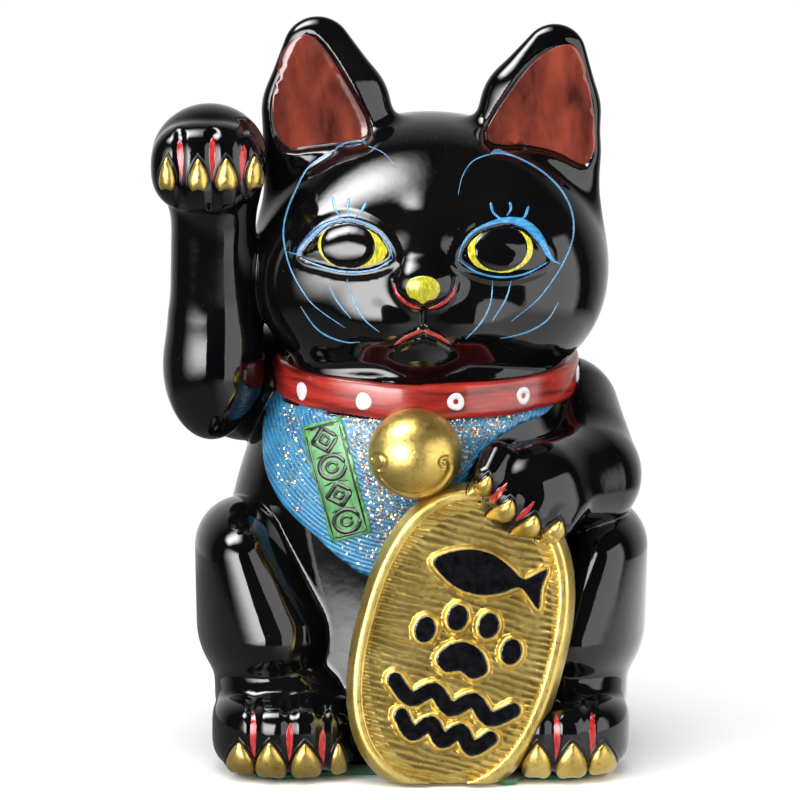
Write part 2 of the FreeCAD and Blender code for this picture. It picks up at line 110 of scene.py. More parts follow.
def limb(p, start, r_start, end, r_end):
    """Distance to two balls and the cone that touches both."""
    a = np.asarray(start, np.float32)
    axis = np.asarray(end, np.float32) - a
    length = float(np.sqrt((axis * axis).sum()))
    lean = (r_start - r_end) / length
    q = p - a
    along = q @ (axis / length)
    across = np.sqrt(np.maximum((q * q).sum(-1) - along * along, 0.0))
    t = np.clip(along - across * lean / math.sqrt(1.0 - lean * lean), 0.0, length)
    return np.sqrt((along - t) ** 2 + across ** 2) - (r_start - lean * t)


def blended(p, shapes):
    """Shapes run together: each is egg or limb, its numbers, and how softly it joins the ones before."""
    whole = None
    for kind, numbers, fillet in shapes:
        d = kind(p, *numbers)
        whole = d if whole is None else soft_min(whole, d, fillet)
    return whole


def line_distance(x, z, points):
    """Distance in a plane to an open line of points."""
    best = np.full(np.shape(x), 1e9)
    for (x0, z0), (x1, z1) in zip(points, points[1:]):
        dx, dz = x1 - x0, z1 - z0
        t = np.clip(((x - x0) * dx + (z - z0) * dz) / (dx * dx + dz * dz + 1e-12), 0.0, 1.0)
        best = np.minimum(best, (x - x0 - t * dx) ** 2 + (z - z0 - t * dz) ** 2)
    return np.sqrt(best)


def outline_distance(x, z, points):
    """Signed distance in a plane to a closed outline, negative inside."""
    ring = list(points) + [points[0]]
    edge = line_distance(x, z, ring)
    inside = np.zeros(np.shape(x), bool)
    for (x0, z0), (x1, z1) in zip(ring, ring[1:]):
        if z0 != z1:
            inside ^= ((z0 > z) != (z1 > z)) & (x < (x1 - x0) * (z - z0) / (z1 - z0) + x0)
    return np.where(inside, -edge, edge)


def bump(d, width):
    """1 at zero distance, falling smoothly to 0 at a distance of width."""
    t = np.clip(1.0 - np.abs(d) / width, 0.0, 1.0)
    return t * t * (3.0 - 2.0 * t)


def grooved(d, q, places, ends, depth, width, share=1.0):
    """A toe pad's field with upright grooves cut in it; share is how much of their depth they keep."""
    for x in places:
        d = d + depth * bump(line_distance(q[:, 0], q[:, 2], [(x, z) for z in ends]), width) * share
    return d


def smooth_line(points, per_span=6, closed=False):
    """A Catmull-Rom curve through points, as a list."""
    pts = [np.array(p, float) for p in points]
    n = len(pts)
    out = []
    for i in range(n if closed else n - 1):
        p0 = pts[i - 1] if closed or i > 0 else pts[0]
        p1, p2 = pts[i], pts[(i + 1) % n]
        p3 = pts[(i + 2) % n] if closed or i + 2 < n else pts[-1]
        for step in range(per_span):
            t = step / per_span
            bend = (2 * p0 - 5 * p1 + 4 * p2 - p3) * t * t + (3 * p1 - p0 - 3 * p2 + p3) * t ** 3
            out.append(tuple(0.5 * (2 * p1 + (p2 - p0) * t + bend)))
    if not closed:
        out.append(tuple(pts[-1]))
    return out


def lattice_noise(x, y, seed):
    """Smooth noise from -1 to 1 over a plane, one swell per unit."""
    table = np.random.default_rng(seed).uniform(-1, 1, (64, 64))
    i, j = np.floor(x).astype(int), np.floor(y).astype(int)
    u, v = x - i, y - j
    u, v = u * u * (3 - 2 * u), v * v * (3 - 2 * v)
    low = table[i % 64, j % 64] * (1 - u) + table[(i + 1) % 64, j % 64] * u
    high = table[i % 64, (j + 1) % 64] * (1 - u) + table[(i + 1) % 64, (j + 1) % 64] * u
    return low * (1 - v) + high * v


# ---------------------------------------------------------------- the head

# The eye openings, in the head's own x and z, from the inner corner over the top.
EYES = {
    "right": [(-16.2, 57.6), (-18.0, 62.8), (-22.6, 67.6), (-32.2, 70.4), (-41.0, 68.0), (-47.2, 63.0),
              (-51.4, 56.4), (-43.0, 54.2), (-33.0, 52.6), (-23.0, 53.8)],
    "left": [(11.4, 57.2), (13.8, 62.4), (18.8, 67.0), (28.2, 69.4), (35.6, 67.4), (41.2, 62.4),
             (45.4, 55.4), (36.4, 51.6), (26.6, 50.7), (17.6, 53.0)],
}
IRISES = {"right": ((-30.9, 61.4), (13.8, 9.4)), "left": ((27.0, 60.4), (12.9, 9.4))}
PUPILS = {"right": ((-32.8, 61.7), (10.9, 9.0)), "left": ((27.2, 60.7), (10.6, 9.0))}
EARS = {
    "right": [((-38.5, 72), 27.2), ((-39.5, 90), 27.4), ((-41.6, 108), 25.4), ((-44.9, 132.2), 14.0)],
    "left": [((40.0, 72), 26.5), ((41.0, 92), 26.0), ((43.2, 108), 23.8), ((48.8, 130.4), 12.8)],
}
EAR_Y = -4.5            # the ears' middle plane
EAR_FLAT = 0.5          # their depth over their width
EAR_OUTLINES = {
    "right": [(-62.8, 115), (-60, 129.5), (-55, 137), (-48.8, 139.2), (-42.8, 134.4), (-35.6, 123.5),
              (-29.6, 113), (-25, 103), (-27, 97.6), (-38, 96), (-49, 94.6), (-56.5, 94), (-61, 99),
              (-63, 107)],
    "left": [(55.4, 135.2), (46.4, 132.8), (38.8, 126.5), (31.6, 117), (25.6, 108), (21.8, 100.4),
             (24.5, 95.6), (38, 95), (49.4, 92.4), (56.6, 88.6), (61.2, 87.4), (64.8, 93), (65.2, 102),
             (63.4, 115), (60.6, 128)],
}
EAR_FLOOR = -9.0        # how far forward the bottom of their hollows lies
EAR_LIP = 1.4           # how far the hollows reach outside their outlines
NOSTRILS = [[(-14.6, 48.0), (-14.0, 44.6), (-11.4, 41.6), (-8.0, 39.4), (-4.4, 38.2)],
            [(9.2, 48.0), (8.6, 44.6), (6.0, 41.6), (2.6, 39.4), (-1.2, 38.2)]]
LIP_LINES = [[(-14.8, 22.4), (-9.5, 26.0), (-3.2, 28.6)], [(-3.2, 28.6), (2.5, 26.2), (7.6, 22.8)]]


SKULL = [
    (egg, ((-0.8, 1.5, 50.5), (68.8, 60, 56)), 0),
    (egg, ((-30, -14, 43), (39, 40.5, 39), 2.1), 16.0),             # cheeks
    (egg, ((30, -14, 43), (39, 40.5, 39), 2.1), 16.0),
]
MUZZLE = [
    (egg, ((-2.6, -59.5, 47), (12, 9.5, 9)), 0),                    # nose
    (limb, ((-3, -47.5, 70), 6.0, (-2.6, -56, 55), 7.0), 9.0),      # bridge
    (egg, ((-16, -46, 33), (19, 15, 12.5)), 8.0),                   # lips
    (egg, ((10, -46, 33), (19, 15, 12.5)), 8.0),
    (egg, ((-3, -43, 17.5), (13.5, 10.5, 8.0)), 10.0),              # chin
]
JAW = ((-2, 4.5, 2), (55, 52, 14), 3.0)


def eye_outline(name):
    return smooth_line(EYES[name], 3, closed=True)


def by_collar(p):
    """How far points lie above the collar's middle, and how far outside its face."""
    q = p - NECK
    size = np.hypot(q[:, 0] / COLLAR_HALF[0], q[:, 1] / COLLAR_HALF[1])
    return q[:, 2] - q[:, 1] * math.sin(COLLAR_TIP), (size - 1) * COLLAR_HALF[1]


def ear_field(q, name):
    """One ear: flattened cones from its root to its tip."""
    flat = q * np.array([1.0, 1.0 / EAR_FLAT, 1.0], np.float32)
    chain, y = EARS[name], EAR_Y / EAR_FLAT
    cones = [(limb, ((x0, y, z0), r0, (x1, y, z1), r1), 2.0)
             for ((x0, z0), r0), ((x1, z1), r1) in zip(chain, chain[1:])]
    return blended(flat, cones) * (EAR_FLAT + 0.25)


def face_relief(q):
    """How much the front of the face stands out from its plain form."""
    x, z = q[:, 0], q[:, 2]
    rise = np.zeros(len(q))
    for name in EYES:
        mx, mz = PUPILS[name][0]
        near = (np.abs(x - mx) < 26) & (np.abs(z - mz) < 20)
        if near.any():
            d = outline_distance(x[near], z[near], eye_outline(name))
            dome = np.sin(np.clip(-d / 8.0, 0, 1) * math.pi / 2)
            rise[near] += (2.0 + 0.09 * (z[near] - mz)) * dome + 0.9 * bump(d - 2.0, 3.2)
    near = (np.abs(x + 3) < 22) & (z > 14) & (z < 54)
    if near.any():
        u, v = x[near], z[near]
        for line in NOSTRILS:
            rise[near] -= 0.5 * bump(line_distance(u, v, [(a, b + 1.3) for a, b in line]), 1.6)
        for line in LIP_LINES:
            rise[near] -= 0.8 * bump(line_distance(u, v, [(a, b - 1.6) for a, b in line]), 2.0)
            rise[near] += 0.9 * bump(line_distance(u, v, [(a, b + 0.4) for a, b in line]), 2.2)
        rise[near] -= 0.9 * bump(line_distance(u, v, [(-3.0, 38), (-3.2, 28)]), 1.7)
    return rise * np.clip((-24.0 - q[:, 1]) / 8.0, 0.0, 1.0)


def hollow_ears(d, q):
    """Sinks the front of both ears inside their outlines, leaving a rounded lip."""
    for name, outline in EAR_OUTLINES.items():
        near = (np.abs(q[:, 0] - EARS[name][1][0][0]) < 34) & (q[:, 2] > 74) & (q[:, 1] < 2)
        if near.any():
            n = q[near]
            inside = outline_distance(n[:, 0], n[:, 2], smooth_line(outline, 2, closed=True)) - EAR_LIP
            hollow = soft_max(inside, n[:, 1] - EAR_FLOOR, 7.0)
            d[near] = soft_max(d[near], -hollow, 3.0)


def head_field(p):
    q = p - HEAD.astype(p.dtype)
    d = soft_min(blended(q, SKULL), blended(q, MUZZLE), 12.0)
    for name in EARS:
        d = soft_min(d, ear_field(q, name), 9.0)
    d = soft_min(d, egg(q, *JAW), 10.0)
    d = d - face_relief(q)
    hollow_ears(d, q)
    up, out = by_collar(p)
    below_collar = np.minimum(7.4 - up, out + 4.8)
    return soft_max(d, below_collar, 3.0)


# ---------------------------------------------------------------- the body

# Rings of the trunk: height, half width, half depth, centre in y.
TRUNK = np.array([
    (0.0, 70.0, 57.0, -1.0), (28.5, 78.0, 63.0, 4.0), (58.5, 80.0, 63.5, 5.5), (88.5, 77.0, 62.0, 4.5),
    (118.5, 70.0, 60.5, -0.5), (136.5, 63.0, 57.0, -3.0), (148.5, 56.0, 53.0, -4.0),
])
TRUNK_FITS = [np.polyfit(TRUNK[:, 0], TRUNK[:, i], 4) for i in (1, 2, 3)]


def trunk_field(p):
    """The trunk's rings, joined by smooth curves and cut off level inside the head."""
    q = p - BODY.astype(p.dtype)
    z = np.clip(q[:, 2], -5, 150)
    half, deep, middle = [np.polyval(fit, z) for fit in TRUNK_FITS]
    u, v = q[:, 0] / half, (q[:, 1] - middle) / deep
    k = np.sqrt(u * u + v * v) + 1e-6
    slope = np.sqrt((u / half) ** 2 + (v / deep) ** 2) / k
    return soft_max((k - 1) / slope, q[:, 2] - 149, 6.0)


HAUNCH_FLAT = 0.533     # a thigh's width over its depth; THIGH's y values are already scaled by it
THIGH = ((59.6, -6.4, 50.5), 30.2, (71.0, -13.3, 83.3), 19.0)
SHIN = ((54.8, -22, 26), (27.8, 46, 17), 2.6)
SLOT = ((0, 68, 122.5), (17, 17, 1.6))              # the coin slot's middle and half sizes
HOLE_STEPS = ((14.0, 22.0), (18.2, 4.7))            # radius and top of the drain hole and its recess


def slot_field(q):
    """The coin slot in the upper back, with rounded corners."""
    middle, half = SLOT
    past = np.abs(q - np.array(middle)) - np.array(half)
    return np.sqrt((np.maximum(past, 0) ** 2).sum(-1)) + np.minimum(past.max(-1), 0) - 1.0


def torso_field(p):
    """The trunk with both haunches, the coin slot and the drain hole."""
    q = p - BODY.astype(p.dtype)
    d = trunk_field(p)
    for side in (-1, 1):
        thigh = limb(q * np.array([side, HAUNCH_FLAT, 1.0], p.dtype), *THIGH)
        shin = egg(q * np.array([side, 1.0, 1.0], p.dtype), *SHIN)
        d = soft_min(d, soft_min(thigh, shin, 6.0), 3.0)
    d = soft_max(d, -slot_field(q), 1.2)
    across = np.hypot(p[:, 0] - HOLE[0], p[:, 1] - HOLE[1])
    for radius, top in HOLE_STEPS:
        d = soft_max(d, -np.maximum(across - radius, p[:, 2] - top), 0.8)
    return d


RAISED_ARM = [
    (limb, ((26.2, 28, -42), 16.8, (25.2, 35, -86), 17.0), 0),                # forearm
    (egg, ((25.0, 38, -108), (19.6, 21, 31)), 10.0),                          # elbow
    (limb, ((38.0, 66, -121), 23.6, (56, 70, -122), 23.0), 10.0),             # shoulder
    (limb, ((27.5, 40, -112), 18.4, (33.0, 33, -64), 11.5), 6.0),             # inner side
    (egg, ((24.6, 27, -24.2), (22.8, 22.5, 21.6)), 14.0),                     # paw
]
RAISED_TOE_ROW = ((23.8, 14.5, -25.8), (22.2, 14.5, 18.6), 2.5)
RAISED_TOES = (8.4, 20.6, 31.6, 42.4)
RAISED_GROOVES = (13.4, 26.2, 37.8)


def raised_field(p):
    """The raised arm, its paw folded forward over a row of toes."""
    q = p - RAISED.astype(p.dtype)
    toes = grooved(egg(q, *RAISED_TOE_ROW), q, RAISED_GROOVES, (-12, -40), 1.3, 3.6)
    return soft_min(blended(q, RAISED_ARM), toes, 2.2)


LOWERED_ARM = [
    (limb, ((-30.5, 90, 38.5), 24.0, (-20.5, 60, 21.5), 21.0), 0),            # upper arm
    (limb, ((-20.2, 49, 19.8), 20.0, (-38.0, 29, 20.0), 19.0), 10.0),         # forearm
    (egg, ((-45.5, 20.5, 19.4), (20.5, 17.0, 17.6)), 14.0),                   # paw
]
LOWERED_TIPS = [(-62.5, 4.5, 25.0), (-54.0, 2.5, 16.0), (-44.6, 3.5, 9.4), (-34.6, 8.0, 6.6)]


def lowered_field(p):
    """The lowered arm, with four toes that reach over the coin."""
    q = p - LOWERED.astype(p.dtype)
    d = blended(q, LOWERED_ARM)
    for x, y, z in LOWERED_TIPS:
        root, tip = (x + 6.0, y + 12.0, z + 9.0), (x + 2.4, y + 5.2, z + 3.0)
        d = soft_min(d, limb(q, root, 7.0, tip, 6.2), 5.0)
    return d


FOOT = ((-2.5, 35.5, 15.0), (30.0, 35.5, 16.6))     # the left foot's middle and half sizes
FOOT_PLAN = 2.3                                     # powers: 2 is round, more is squarer
FOOT_TALL = 3.4
FOOT_GROOVES = (10.5, -3.6, -16.7)


def foot_field(p, name):
    """A pad that is nearly round in plan and squarer in height, with grooves between its toes."""
    side = -1 if name == "right" else 1
    q = (p - FEET[name].astype(p.dtype)) * np.array([side, 1, 1], p.dtype)
    middle, half = FOOT
    x, y, z = [np.abs(q[:, i] - middle[i]) / half[i] + 1e-6 for i in range(3)]
    plan = (x ** FOOT_PLAN + y ** FOOT_PLAN) ** (1 / FOOT_PLAN)
    size = (plan ** FOOT_TALL + z ** FOOT_TALL) ** (1 / FOOT_TALL)
    steep = np.hypot(x ** (FOOT_PLAN - 1) / half[0], y ** (FOOT_PLAN - 1) / half[1])
    steep = np.hypot(steep * plan ** (FOOT_TALL - FOOT_PLAN), z ** (FOOT_TALL - 1) / half[2])
    d = (size - 1) * size ** (FOOT_TALL - 1) / steep
    front = np.clip((24.0 - q[:, 1]) / 12.0, 0, 1)
    return grooved(d, q, FOOT_GROOVES, (31, -2), 1.5, 4.2, front)


TAIL_PARTS = [
    (limb, ((-17, 2, 12), 12.0, (9, -3, 19), 12.5), 0),
    (limb, ((10, -4, 22), 12.0, (19, -11, 39), 9.5), 6.0),
]


def tail_field(p):
    """A short tail, curled up beside the trunk."""
    return blended(p - TAIL.astype(p.dtype), TAIL_PARTS)


CASTINGS = {
    "torso": torso_field,
    "head": head_field,
    "raised": raised_field,
    "lowered": lowered_field,
    "right_foot": lambda p: foot_field(p, "right"),
    "left_foot": lambda p: foot_field(p, "left"),
    "tail": tail_field,
}
RANK = list(CASTINGS)   # where two castings meet, the later one runs on under the earlier
NEAR = {                # the castings that touch each one
    "torso": RANK,
    "head": ["torso", "head", "raised", "lowered"],
    "raised": ["torso", "head", "raised"],
    "lowered": ["torso", "head", "lowered"],
    "right_foot": ["torso", "right_foot"],
    "left_foot": ["torso", "left_foot"],
    "tail": ["torso", "tail"],
}


def swell(p):
    """The slight unevenness of a hand-finished casting."""
    x, y, z = p[:, 0], p[:, 1], p[:, 2]
    return 0.22 * np.sin(x / 13.0 + 1.0) * np.sin(z / 17.0) + 0.15 * np.sin(y / 11.0 + z / 23.0 + 2.0)


def collar_channel(p):
    """The space that the collar fills: the castings keep out of it."""
    up, out = by_collar(p)
    return np.maximum(np.abs(up) - 6.9, np.abs(out + 2.3) - 2.5)


def joined(p, names):
    """The glazed surface of some castings, with fillets between them, standing on the felt."""
    parts = {name: CASTINGS[name](p) for name in names}
    whole = None
    for d in parts.values():
        whole = d if whole is None else soft_min(whole, d, GLAZE_FILLET)
    whole = soft_max(whole + swell(p), -collar_channel(p), 0.6)
    return soft_max(whole, FLOOR_Z - p[:, 2], 2.0), parts


def casting_fields(name):
    """A casting's outer surface, and the region it may fill, as two functions of points."""
    def both(p):
        whole, parts = joined(p, NEAR[name])
        own = parts[name]
        region = np.full(len(p), -1e3)
        dip = np.zeros(len(p))
        for other, d in parts.items():
            if other == name:
                continue
            lead = own - d
            if RANK.index(name) > RANK.index(other):
                region = np.maximum(region, lead - SEAM_REACH)
                dip = np.maximum(dip, np.clip(lead / SEAM_REACH * 2, 0, 1) * SEAM_DIP)
            else:
                region = np.maximum(region, lead)
        return whole + dip, region
    return both


# ---------------------------------------------------------------- from fields to meshes

def slopes(field, p, e=0.06):
    """A field's gradient at points, by differences."""
    columns = []
    for axis in range(3):
        shift = np.zeros(3)
        shift[axis] = e
        columns.append((field(p + shift) - field(p - shift)) / (2 * e))
    return np.stack(columns, -1)


def in_chunks(field, p, size=400000):
    return np.concatenate([field(p[i:i + size]) for i in range(0, len(p), size)]) if len(p) else np.zeros(0)


def voxel_surface(field, low, high, step):
    """Quads on a field's zero level. Only the cells near the surface are worked out finely."""
    low, high = np.asarray(low, float), np.asarray(high, float)
    block = 5
    counts = np.ceil((high - low) / (step * block)).astype(int)
    centres = np.stack(np.meshgrid(*[np.arange(c) for c in counts], indexing="ij"), -1).reshape(-1, 3)
    middles = (low + (centres + 0.5) * step * block - step / 2).astype(np.float32)
    rough = in_chunks(field, middles)
    half_diagonal = step * block * 0.87
    reach = half_diagonal * 1.25 + 2 * step
    far = 3.0 * step
    dense = np.repeat(np.repeat(np.repeat(
        np.where(rough > 0, far, -far).reshape(counts).astype(np.float32), block, 0), block, 1), block, 2)
    close = centres[np.abs(rough) < reach]
    inner = np.stack(np.meshgrid(*[np.arange(block)] * 3, indexing="ij"), -1).reshape(-1, 3)
    cells = (close[:, None, :] * block + inner[None]).reshape(-1, 3)
    values = in_chunks(field, (low + cells * step).astype(np.float32))
    dense[cells[:, 0], cells[:, 1], cells[:, 2]] = np.clip(values, -far, far)
    grid = openvdb.FloatGrid(far)
    grid.copyFromArray(dense)
    points, quads = grid.convertToQuads(isovalue=0.0)
    return low + points.astype(float) * step, quads


def settle(points, step, visible, region=None):
    """Moves points onto the surface, and those at the rim of a region onto the rim's line."""
    for _ in range(3):
        if region is None:
            f, g = visible(points), slopes(visible, points)
            points = points - g * (f / (g * g).sum(-1))[:, None]
            continue
        f, r = visible(points), region(points)
        gf, gr = slopes(visible, points), slopes(region, points)
        ff, rr = (gf * gf).sum(-1) + 1e-9, (gr * gr).sum(-1) + 1e-9
        fr = (gf * gr).sum(-1)
        det = ff * rr - fr * fr
        rim = (np.abs(f) < 0.8 * step) & (np.abs(r) < 0.8 * step) & (det > 0.15 * ff * rr)
        a = (f * rr - r * fr) / np.maximum(det, 1e-9)
        b = (r * ff - f * fr) / np.maximum(det, 1e-9)
        move = np.where((f >= r)[:, None], gf * (f / ff)[:, None], gr * (r / rr)[:, None])
        move = np.where(rim[:, None], gf * a[:, None] + gr * b[:, None], move)
        length = np.sqrt((move * move).sum(-1))
        points = points - move * np.minimum(1.0, step / (length + 1e-9))[:, None]
    return points


def make_object(name, points, faces, material, normals=None, body="cat", replaces=()):
    """A piece from points in millimetres, smooth shaded, riding on its CAD body."""
    mesh = bpy.data.meshes.new(name)
    points = np.asarray(points, float)
    if isinstance(faces, np.ndarray):
        corners = faces.shape[1]
        mesh.vertices.add(len(points))
        mesh.vertices.foreach_set("co", (points * MM).astype(np.float32).ravel())
        mesh.loops.add(faces.size)
        mesh.loops.foreach_set("vertex_index", faces.astype(np.int32).ravel())
        mesh.polygons.add(len(faces))
        mesh.polygons.foreach_set("loop_start", np.arange(0, faces.size, corners, dtype=np.int32))
        mesh.update(calc_edges=True)
    else:
        mesh.from_pydata((points * MM).tolist(), [], faces)
    mesh.validate()
    mesh.shade_smooth()
    if normals is not None and len(mesh.vertices) == len(normals):
        mesh.normals_split_custom_set_from_vertices(normals.tolist())
    mesh.materials.append(material)
    obj = bpy.data.objects.new(name, mesh)
    bpy.context.scene.collection.objects.link(obj)
    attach(obj, body)
    if replaces:
        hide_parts(*replaces)
    return obj


def unit(v):
    return v / (np.sqrt((v * v).sum(-1, keepdims=True)) + 1e-12)


def build_casting(piece, name, nodes, step, material):
    """One glazed casting, shaded as the joined glaze is, so that its seams hardly show."""
    both = casting_fields(name)
    low, high = spot(nodes[0], 0, 0, 0) - 6, spot(nodes[0], 1, 1, 1) + 6
    step = step * COARSE
    points, quads = voxel_surface(lambda p: np.maximum(*both(p)), low, high, step)
    points = settle(points, step, lambda p: both(p)[0], lambda p: both(p)[1])
    normals = unit(slopes(lambda p: joined(p, NEAR[name])[0], points, 0.12))
    make_object(piece, points, quads, material, normals, "cat", nodes)


def build_solid(piece, field, low, high, step, blur, material, node):
    """A piece from its own field, shaded by the field's slope over a distance of blur."""
    step = step * COARSE
    points, quads = voxel_surface(field, low, high, step)
    points = settle(points, step, field)
    normals = unit(slopes(field, points, blur))
    return make_object(piece, points, quads, material, normals, "cat", [node]), points


def net(rows, across, start=0, loop=False, ring=False, turned=False):
    """Quads over rows of points. loop joins the last row to the first, ring joins each row's two ends."""
    quads = []
    for i in range(rows if loop else rows - 1):
        for j in range(across if ring else across - 1):
            here, there = start + i * across, start + (i + 1) % rows * across
            beside = (j + 1) % across
            quad = (here + j, there + j, there + beside, here + beside)
            quads.append((quad[0], *quad[:0:-1]) if turned else quad)
    return quads


def tube(rows, across, start=0, turned=False):
    """Faces of a closed tube of rings: its sides and its two ends."""
    first = tuple(range(start, start + across))
    last = tuple(i + (rows - 1) * across for i in first)
    ends = [first[::-1], last] if turned else [first, last[::-1]]
    return net(rows, across, start, ring=True, turned=turned) + ends


# ---------------------------------------------------------------- materials

class Nodes:
    """A material's node tree, with the few steps that the finishes share."""

    def __init__(self, name):
        self.material = bpy.data.materials.new(name)
        self.material.use_nodes = True
        self.tree = self.material.node_tree
        self.shader = self.tree.nodes["Principled BSDF"]
        self.place = self.add("ShaderNodeTexCoord").outputs["Object"]

    def add(self, kind, **settings):
        node = self.tree.nodes.new(kind)
        for key, value in settings.items():
            setattr(node, key, value)
        return node

    def link(self, source, target):
        self.tree.links.new(source, target)

    def stretched(self, scale, turn=(0, 0, 0)):
        node = self.add("ShaderNodeMapping")
        node.inputs["Scale"].default_value = scale
        node.inputs["Rotation"].default_value = turn
        self.link(self.place, node.inputs["Vector"])
        return node.outputs["Vector"]

    def noise(self, size_mm, detail=3.0, where=None, distortion=0.0):
        node = self.add("ShaderNodeTexNoise")
        node.inputs["Scale"].default_value = 1000.0 / size_mm
        node.inputs["Detail"].default_value = detail
        node.inputs["Distortion"].default_value = distortion
        self.link(where or self.place, node.inputs["Vector"])
        return node.outputs["Fac"]

    def ramp(self, value, stops):
        node = self.add("ShaderNodeValToRGB")
        while len(node.color_ramp.elements) < len(stops):
            node.color_ramp.elements.new(0.5)
        for element, (place, colour) in zip(node.color_ramp.elements, stops):
            element.position = place
            element.color = (*colour, 1) if len(colour) == 3 else colour
        self.link(value, node.inputs["Fac"])
        return node.outputs["Color"]

    def span(self, value, low, high, start=0.3, end=0.7):
        node = self.add("ShaderNodeMapRange")
        for key, number in (("From Min", start), ("From Max", end), ("To Min", low), ("To Max", high)):
            node.inputs[key].default_value = number
        self.link(value, node.inputs["Value"])
        return node.outputs["Result"]

    def mix(self, fac, a, b):
        node = self.add("ShaderNodeMix", data_type="RGBA")
        for socket, value in ((node.inputs["Factor"], fac), (node.inputs[6], a), (node.inputs[7], b)):
            if isinstance(value, bpy.types.NodeSocket):
                self.link(value, socket)
            else:
                socket.default_value = value if isinstance(value, float) else (*value, 1)
        return node.outputs[2]

    def blend(self, fac, a, b):
        """One shader fading into another."""
        node = self.add("ShaderNodeMixShader")
        for socket, source in zip(node.inputs, (fac, a, b)):
            self.link(source, socket)
        return node.outputs[0]

    def bumps(self, layers):
        """Stacks bump layers, each (height output, depth in mm)."""
        normal = None
        for height, depth in layers:
            node = self.add("ShaderNodeBump")
            node.inputs["Distance"].default_value = depth * MM
            self.link(height, node.inputs["Height"])
            if normal:
                self.link(normal, node.inputs["Normal"])
            normal = node.outputs["Normal"]
        self.link(normal, self.shader.inputs["Normal"])

    def finish(self, colour, roughness, metallic=0.0, ior=1.5, coat=0.0):
        for key, value in (("Base Color", colour), ("Roughness", roughness), ("Metallic", metallic),
                           ("IOR", ior), ("Coat Weight", coat)):
            socket = self.shader.inputs[key]
            if isinstance(value, bpy.types.NodeSocket):
                self.link(value, socket)
            else:
                socket.default_value = value
        self.shader.inputs["Coat Roughness"].default_value = 0.06
        return self.material


def black_glaze():
    """Deep gloss with a faint swell, and a few pale specks of grit."""
    n = Nodes("black_glaze")
    tint = n.ramp(n.noise(35), [(0.35, (0.0018, 0.0018, 0.0024)), (0.7, (0.0045, 0.0040, 0.0042))])
    speck = n.ramp(n.noise(1.1, 1.0), [(0.775, (0, 0, 0)), (0.80, (1, 1, 1))])
    colour = n.mix(speck, tint, (0.05, 0.045, 0.035))
    rough = n.span(n.noise(12, 4.0), 0.035, 0.075)
    n.bumps([(n.noise(9, 2.0), 0.10), (n.noise(1.6, 2.0), 0.006)])
    return n.finish(colour, rough, ior=1.52)


def gold(name, low, high, depth=0.10):
    """Gilt brushed on over the glaze: satin, with thin places, and painted shade where the hollow attribute
    marks recesses.
    """
    n = Nodes(name)
    strokes = n.noise(1.5, 4.0)
    colour = n.mix(n.span(n.noise(14, 3.0), 0.0, 1.0, 0.35, 0.7), low, high)
    grime = n.ramp(n.noise(2.2, 5.0), [(0.28, (0.40, 0.30, 0.14)), (0.42, (1, 1, 1))])
    worn = n.add("ShaderNodeMix", data_type="RGBA", blend_type="MULTIPLY")
    worn.inputs["Factor"].default_value = 0.55
    n.link(colour, worn.inputs[6])
    n.link(grime, worn.inputs[7])
    # Painted shade: where the hollow attribute marks the coin's recesses, the gilt is mixed towards dark
    # brown.
    hollow = n.add("ShaderNodeAttribute", attribute_name="hollow").outputs["Fac"]
    colour_with_painted_shade = n.mix(n.span(hollow, 0.0, 0.8, 0.15, 0.95), worn.outputs[2], (0.10, 0.060, 0.016))
    n.bumps([(strokes, depth), (n.noise(0.5, 2.0), 0.02)])
    return n.finish(colour_with_painted_shade, n.span(strokes, 0.27, 0.42), metallic=0.92)


def enamel(name, dark, light, brush=(1, 1, 1), turn=(0, 0, 0), size=3.0, rough=(0.16, 0.28), depth=0.05):
    """Overglaze enamel: glossy, uneven in thickness, with the drag of the brush."""
    n = Nodes(name)
    where = n.stretched(brush, turn)
    strokes = n.noise(size, 5.0, where, 0.3)
    colour = n.ramp(strokes, [(0.32, dark), (0.66, light)])
    n.bumps([(strokes, depth), (n.noise(5, 2.0), 0.05)])
    return n.finish(colour, n.span(n.noise(6, 3.0), *rough), coat=0.4)


def rubber():
    n = Nodes("black_rubber")
    colour = n.ramp(n.noise(6, 4.0), [(0.3, (0.034, 0.034, 0.036)), (0.7, (0.058, 0.057, 0.055))])
    n.bumps([(n.noise(0.8, 3.0), 0.03)])
    return n.finish(colour, n.span(n.noise(3), 0.5, 0.7))


def felt():
    n = Nodes("green_felt")
    fibres = n.noise(0.9, 6.0, n.stretched((1, 0.35, 1), (0, 0, 0.6)))
    colour = n.ramp(fibres, [(0.3, (0.005, 0.085, 0.035)), (0.7, (0.02, 0.22, 0.09))])
    n.bumps([(fibres, 0.35), (n.noise(6), 0.2)])
    made = n.finish(colour, 0.95)
    n.shader.inputs["Sheen Weight"].default_value = 0.5
    return made


# ---------------------------------------------------------------- the stage

# The stage is in metres.
AIM = Vector((-0.0084, 0.0, 0.1393))    # where the camera looks
VIEW_TILT = math.radians(10)
CAMERA_AWAY = 4.0
FRAME_WIDTH = 0.32                      # what the picture takes in, across AIM
FLOOR_HALF = 8.0
LIGHT_AIM = (0, 0, 0.15)
LIGHTS = (                              # place, size, radiance
    ("left_box", (-1.5, -1.2, 1.0), (1.1, 1.4), 5.5),
    ("right_box", (1.6, -1.2, 0.9), (1.0, 1.2), 2.5),
    ("top_box", (0, -0.6, 1.8), (1.2, 1.0), 4.0),
)


def aim(obj, place, target):
    obj.location = place
    obj.rotation_mode = "QUATERNION"
    obj.rotation_quaternion = (Vector(target) - Vector(place)).to_track_quat("-Z", "Y")


def softbox(name, place, size, radiance):
    """A flat light that reflections don't see; radiance is how bright its face would look."""
    light = bpy.data.lights.new(name, "AREA")
    light.shape = "RECTANGLE"
    light.size, light.size_y = size
    light.energy = radiance * math.pi * size[0] * size[1]
    obj = bpy.data.objects.new(name, light)
    bpy.context.scene.collection.objects.link(obj)
    aim(obj, place, LIGHT_AIM)
    obj.visible_camera = False
    obj.visible_glossy = False


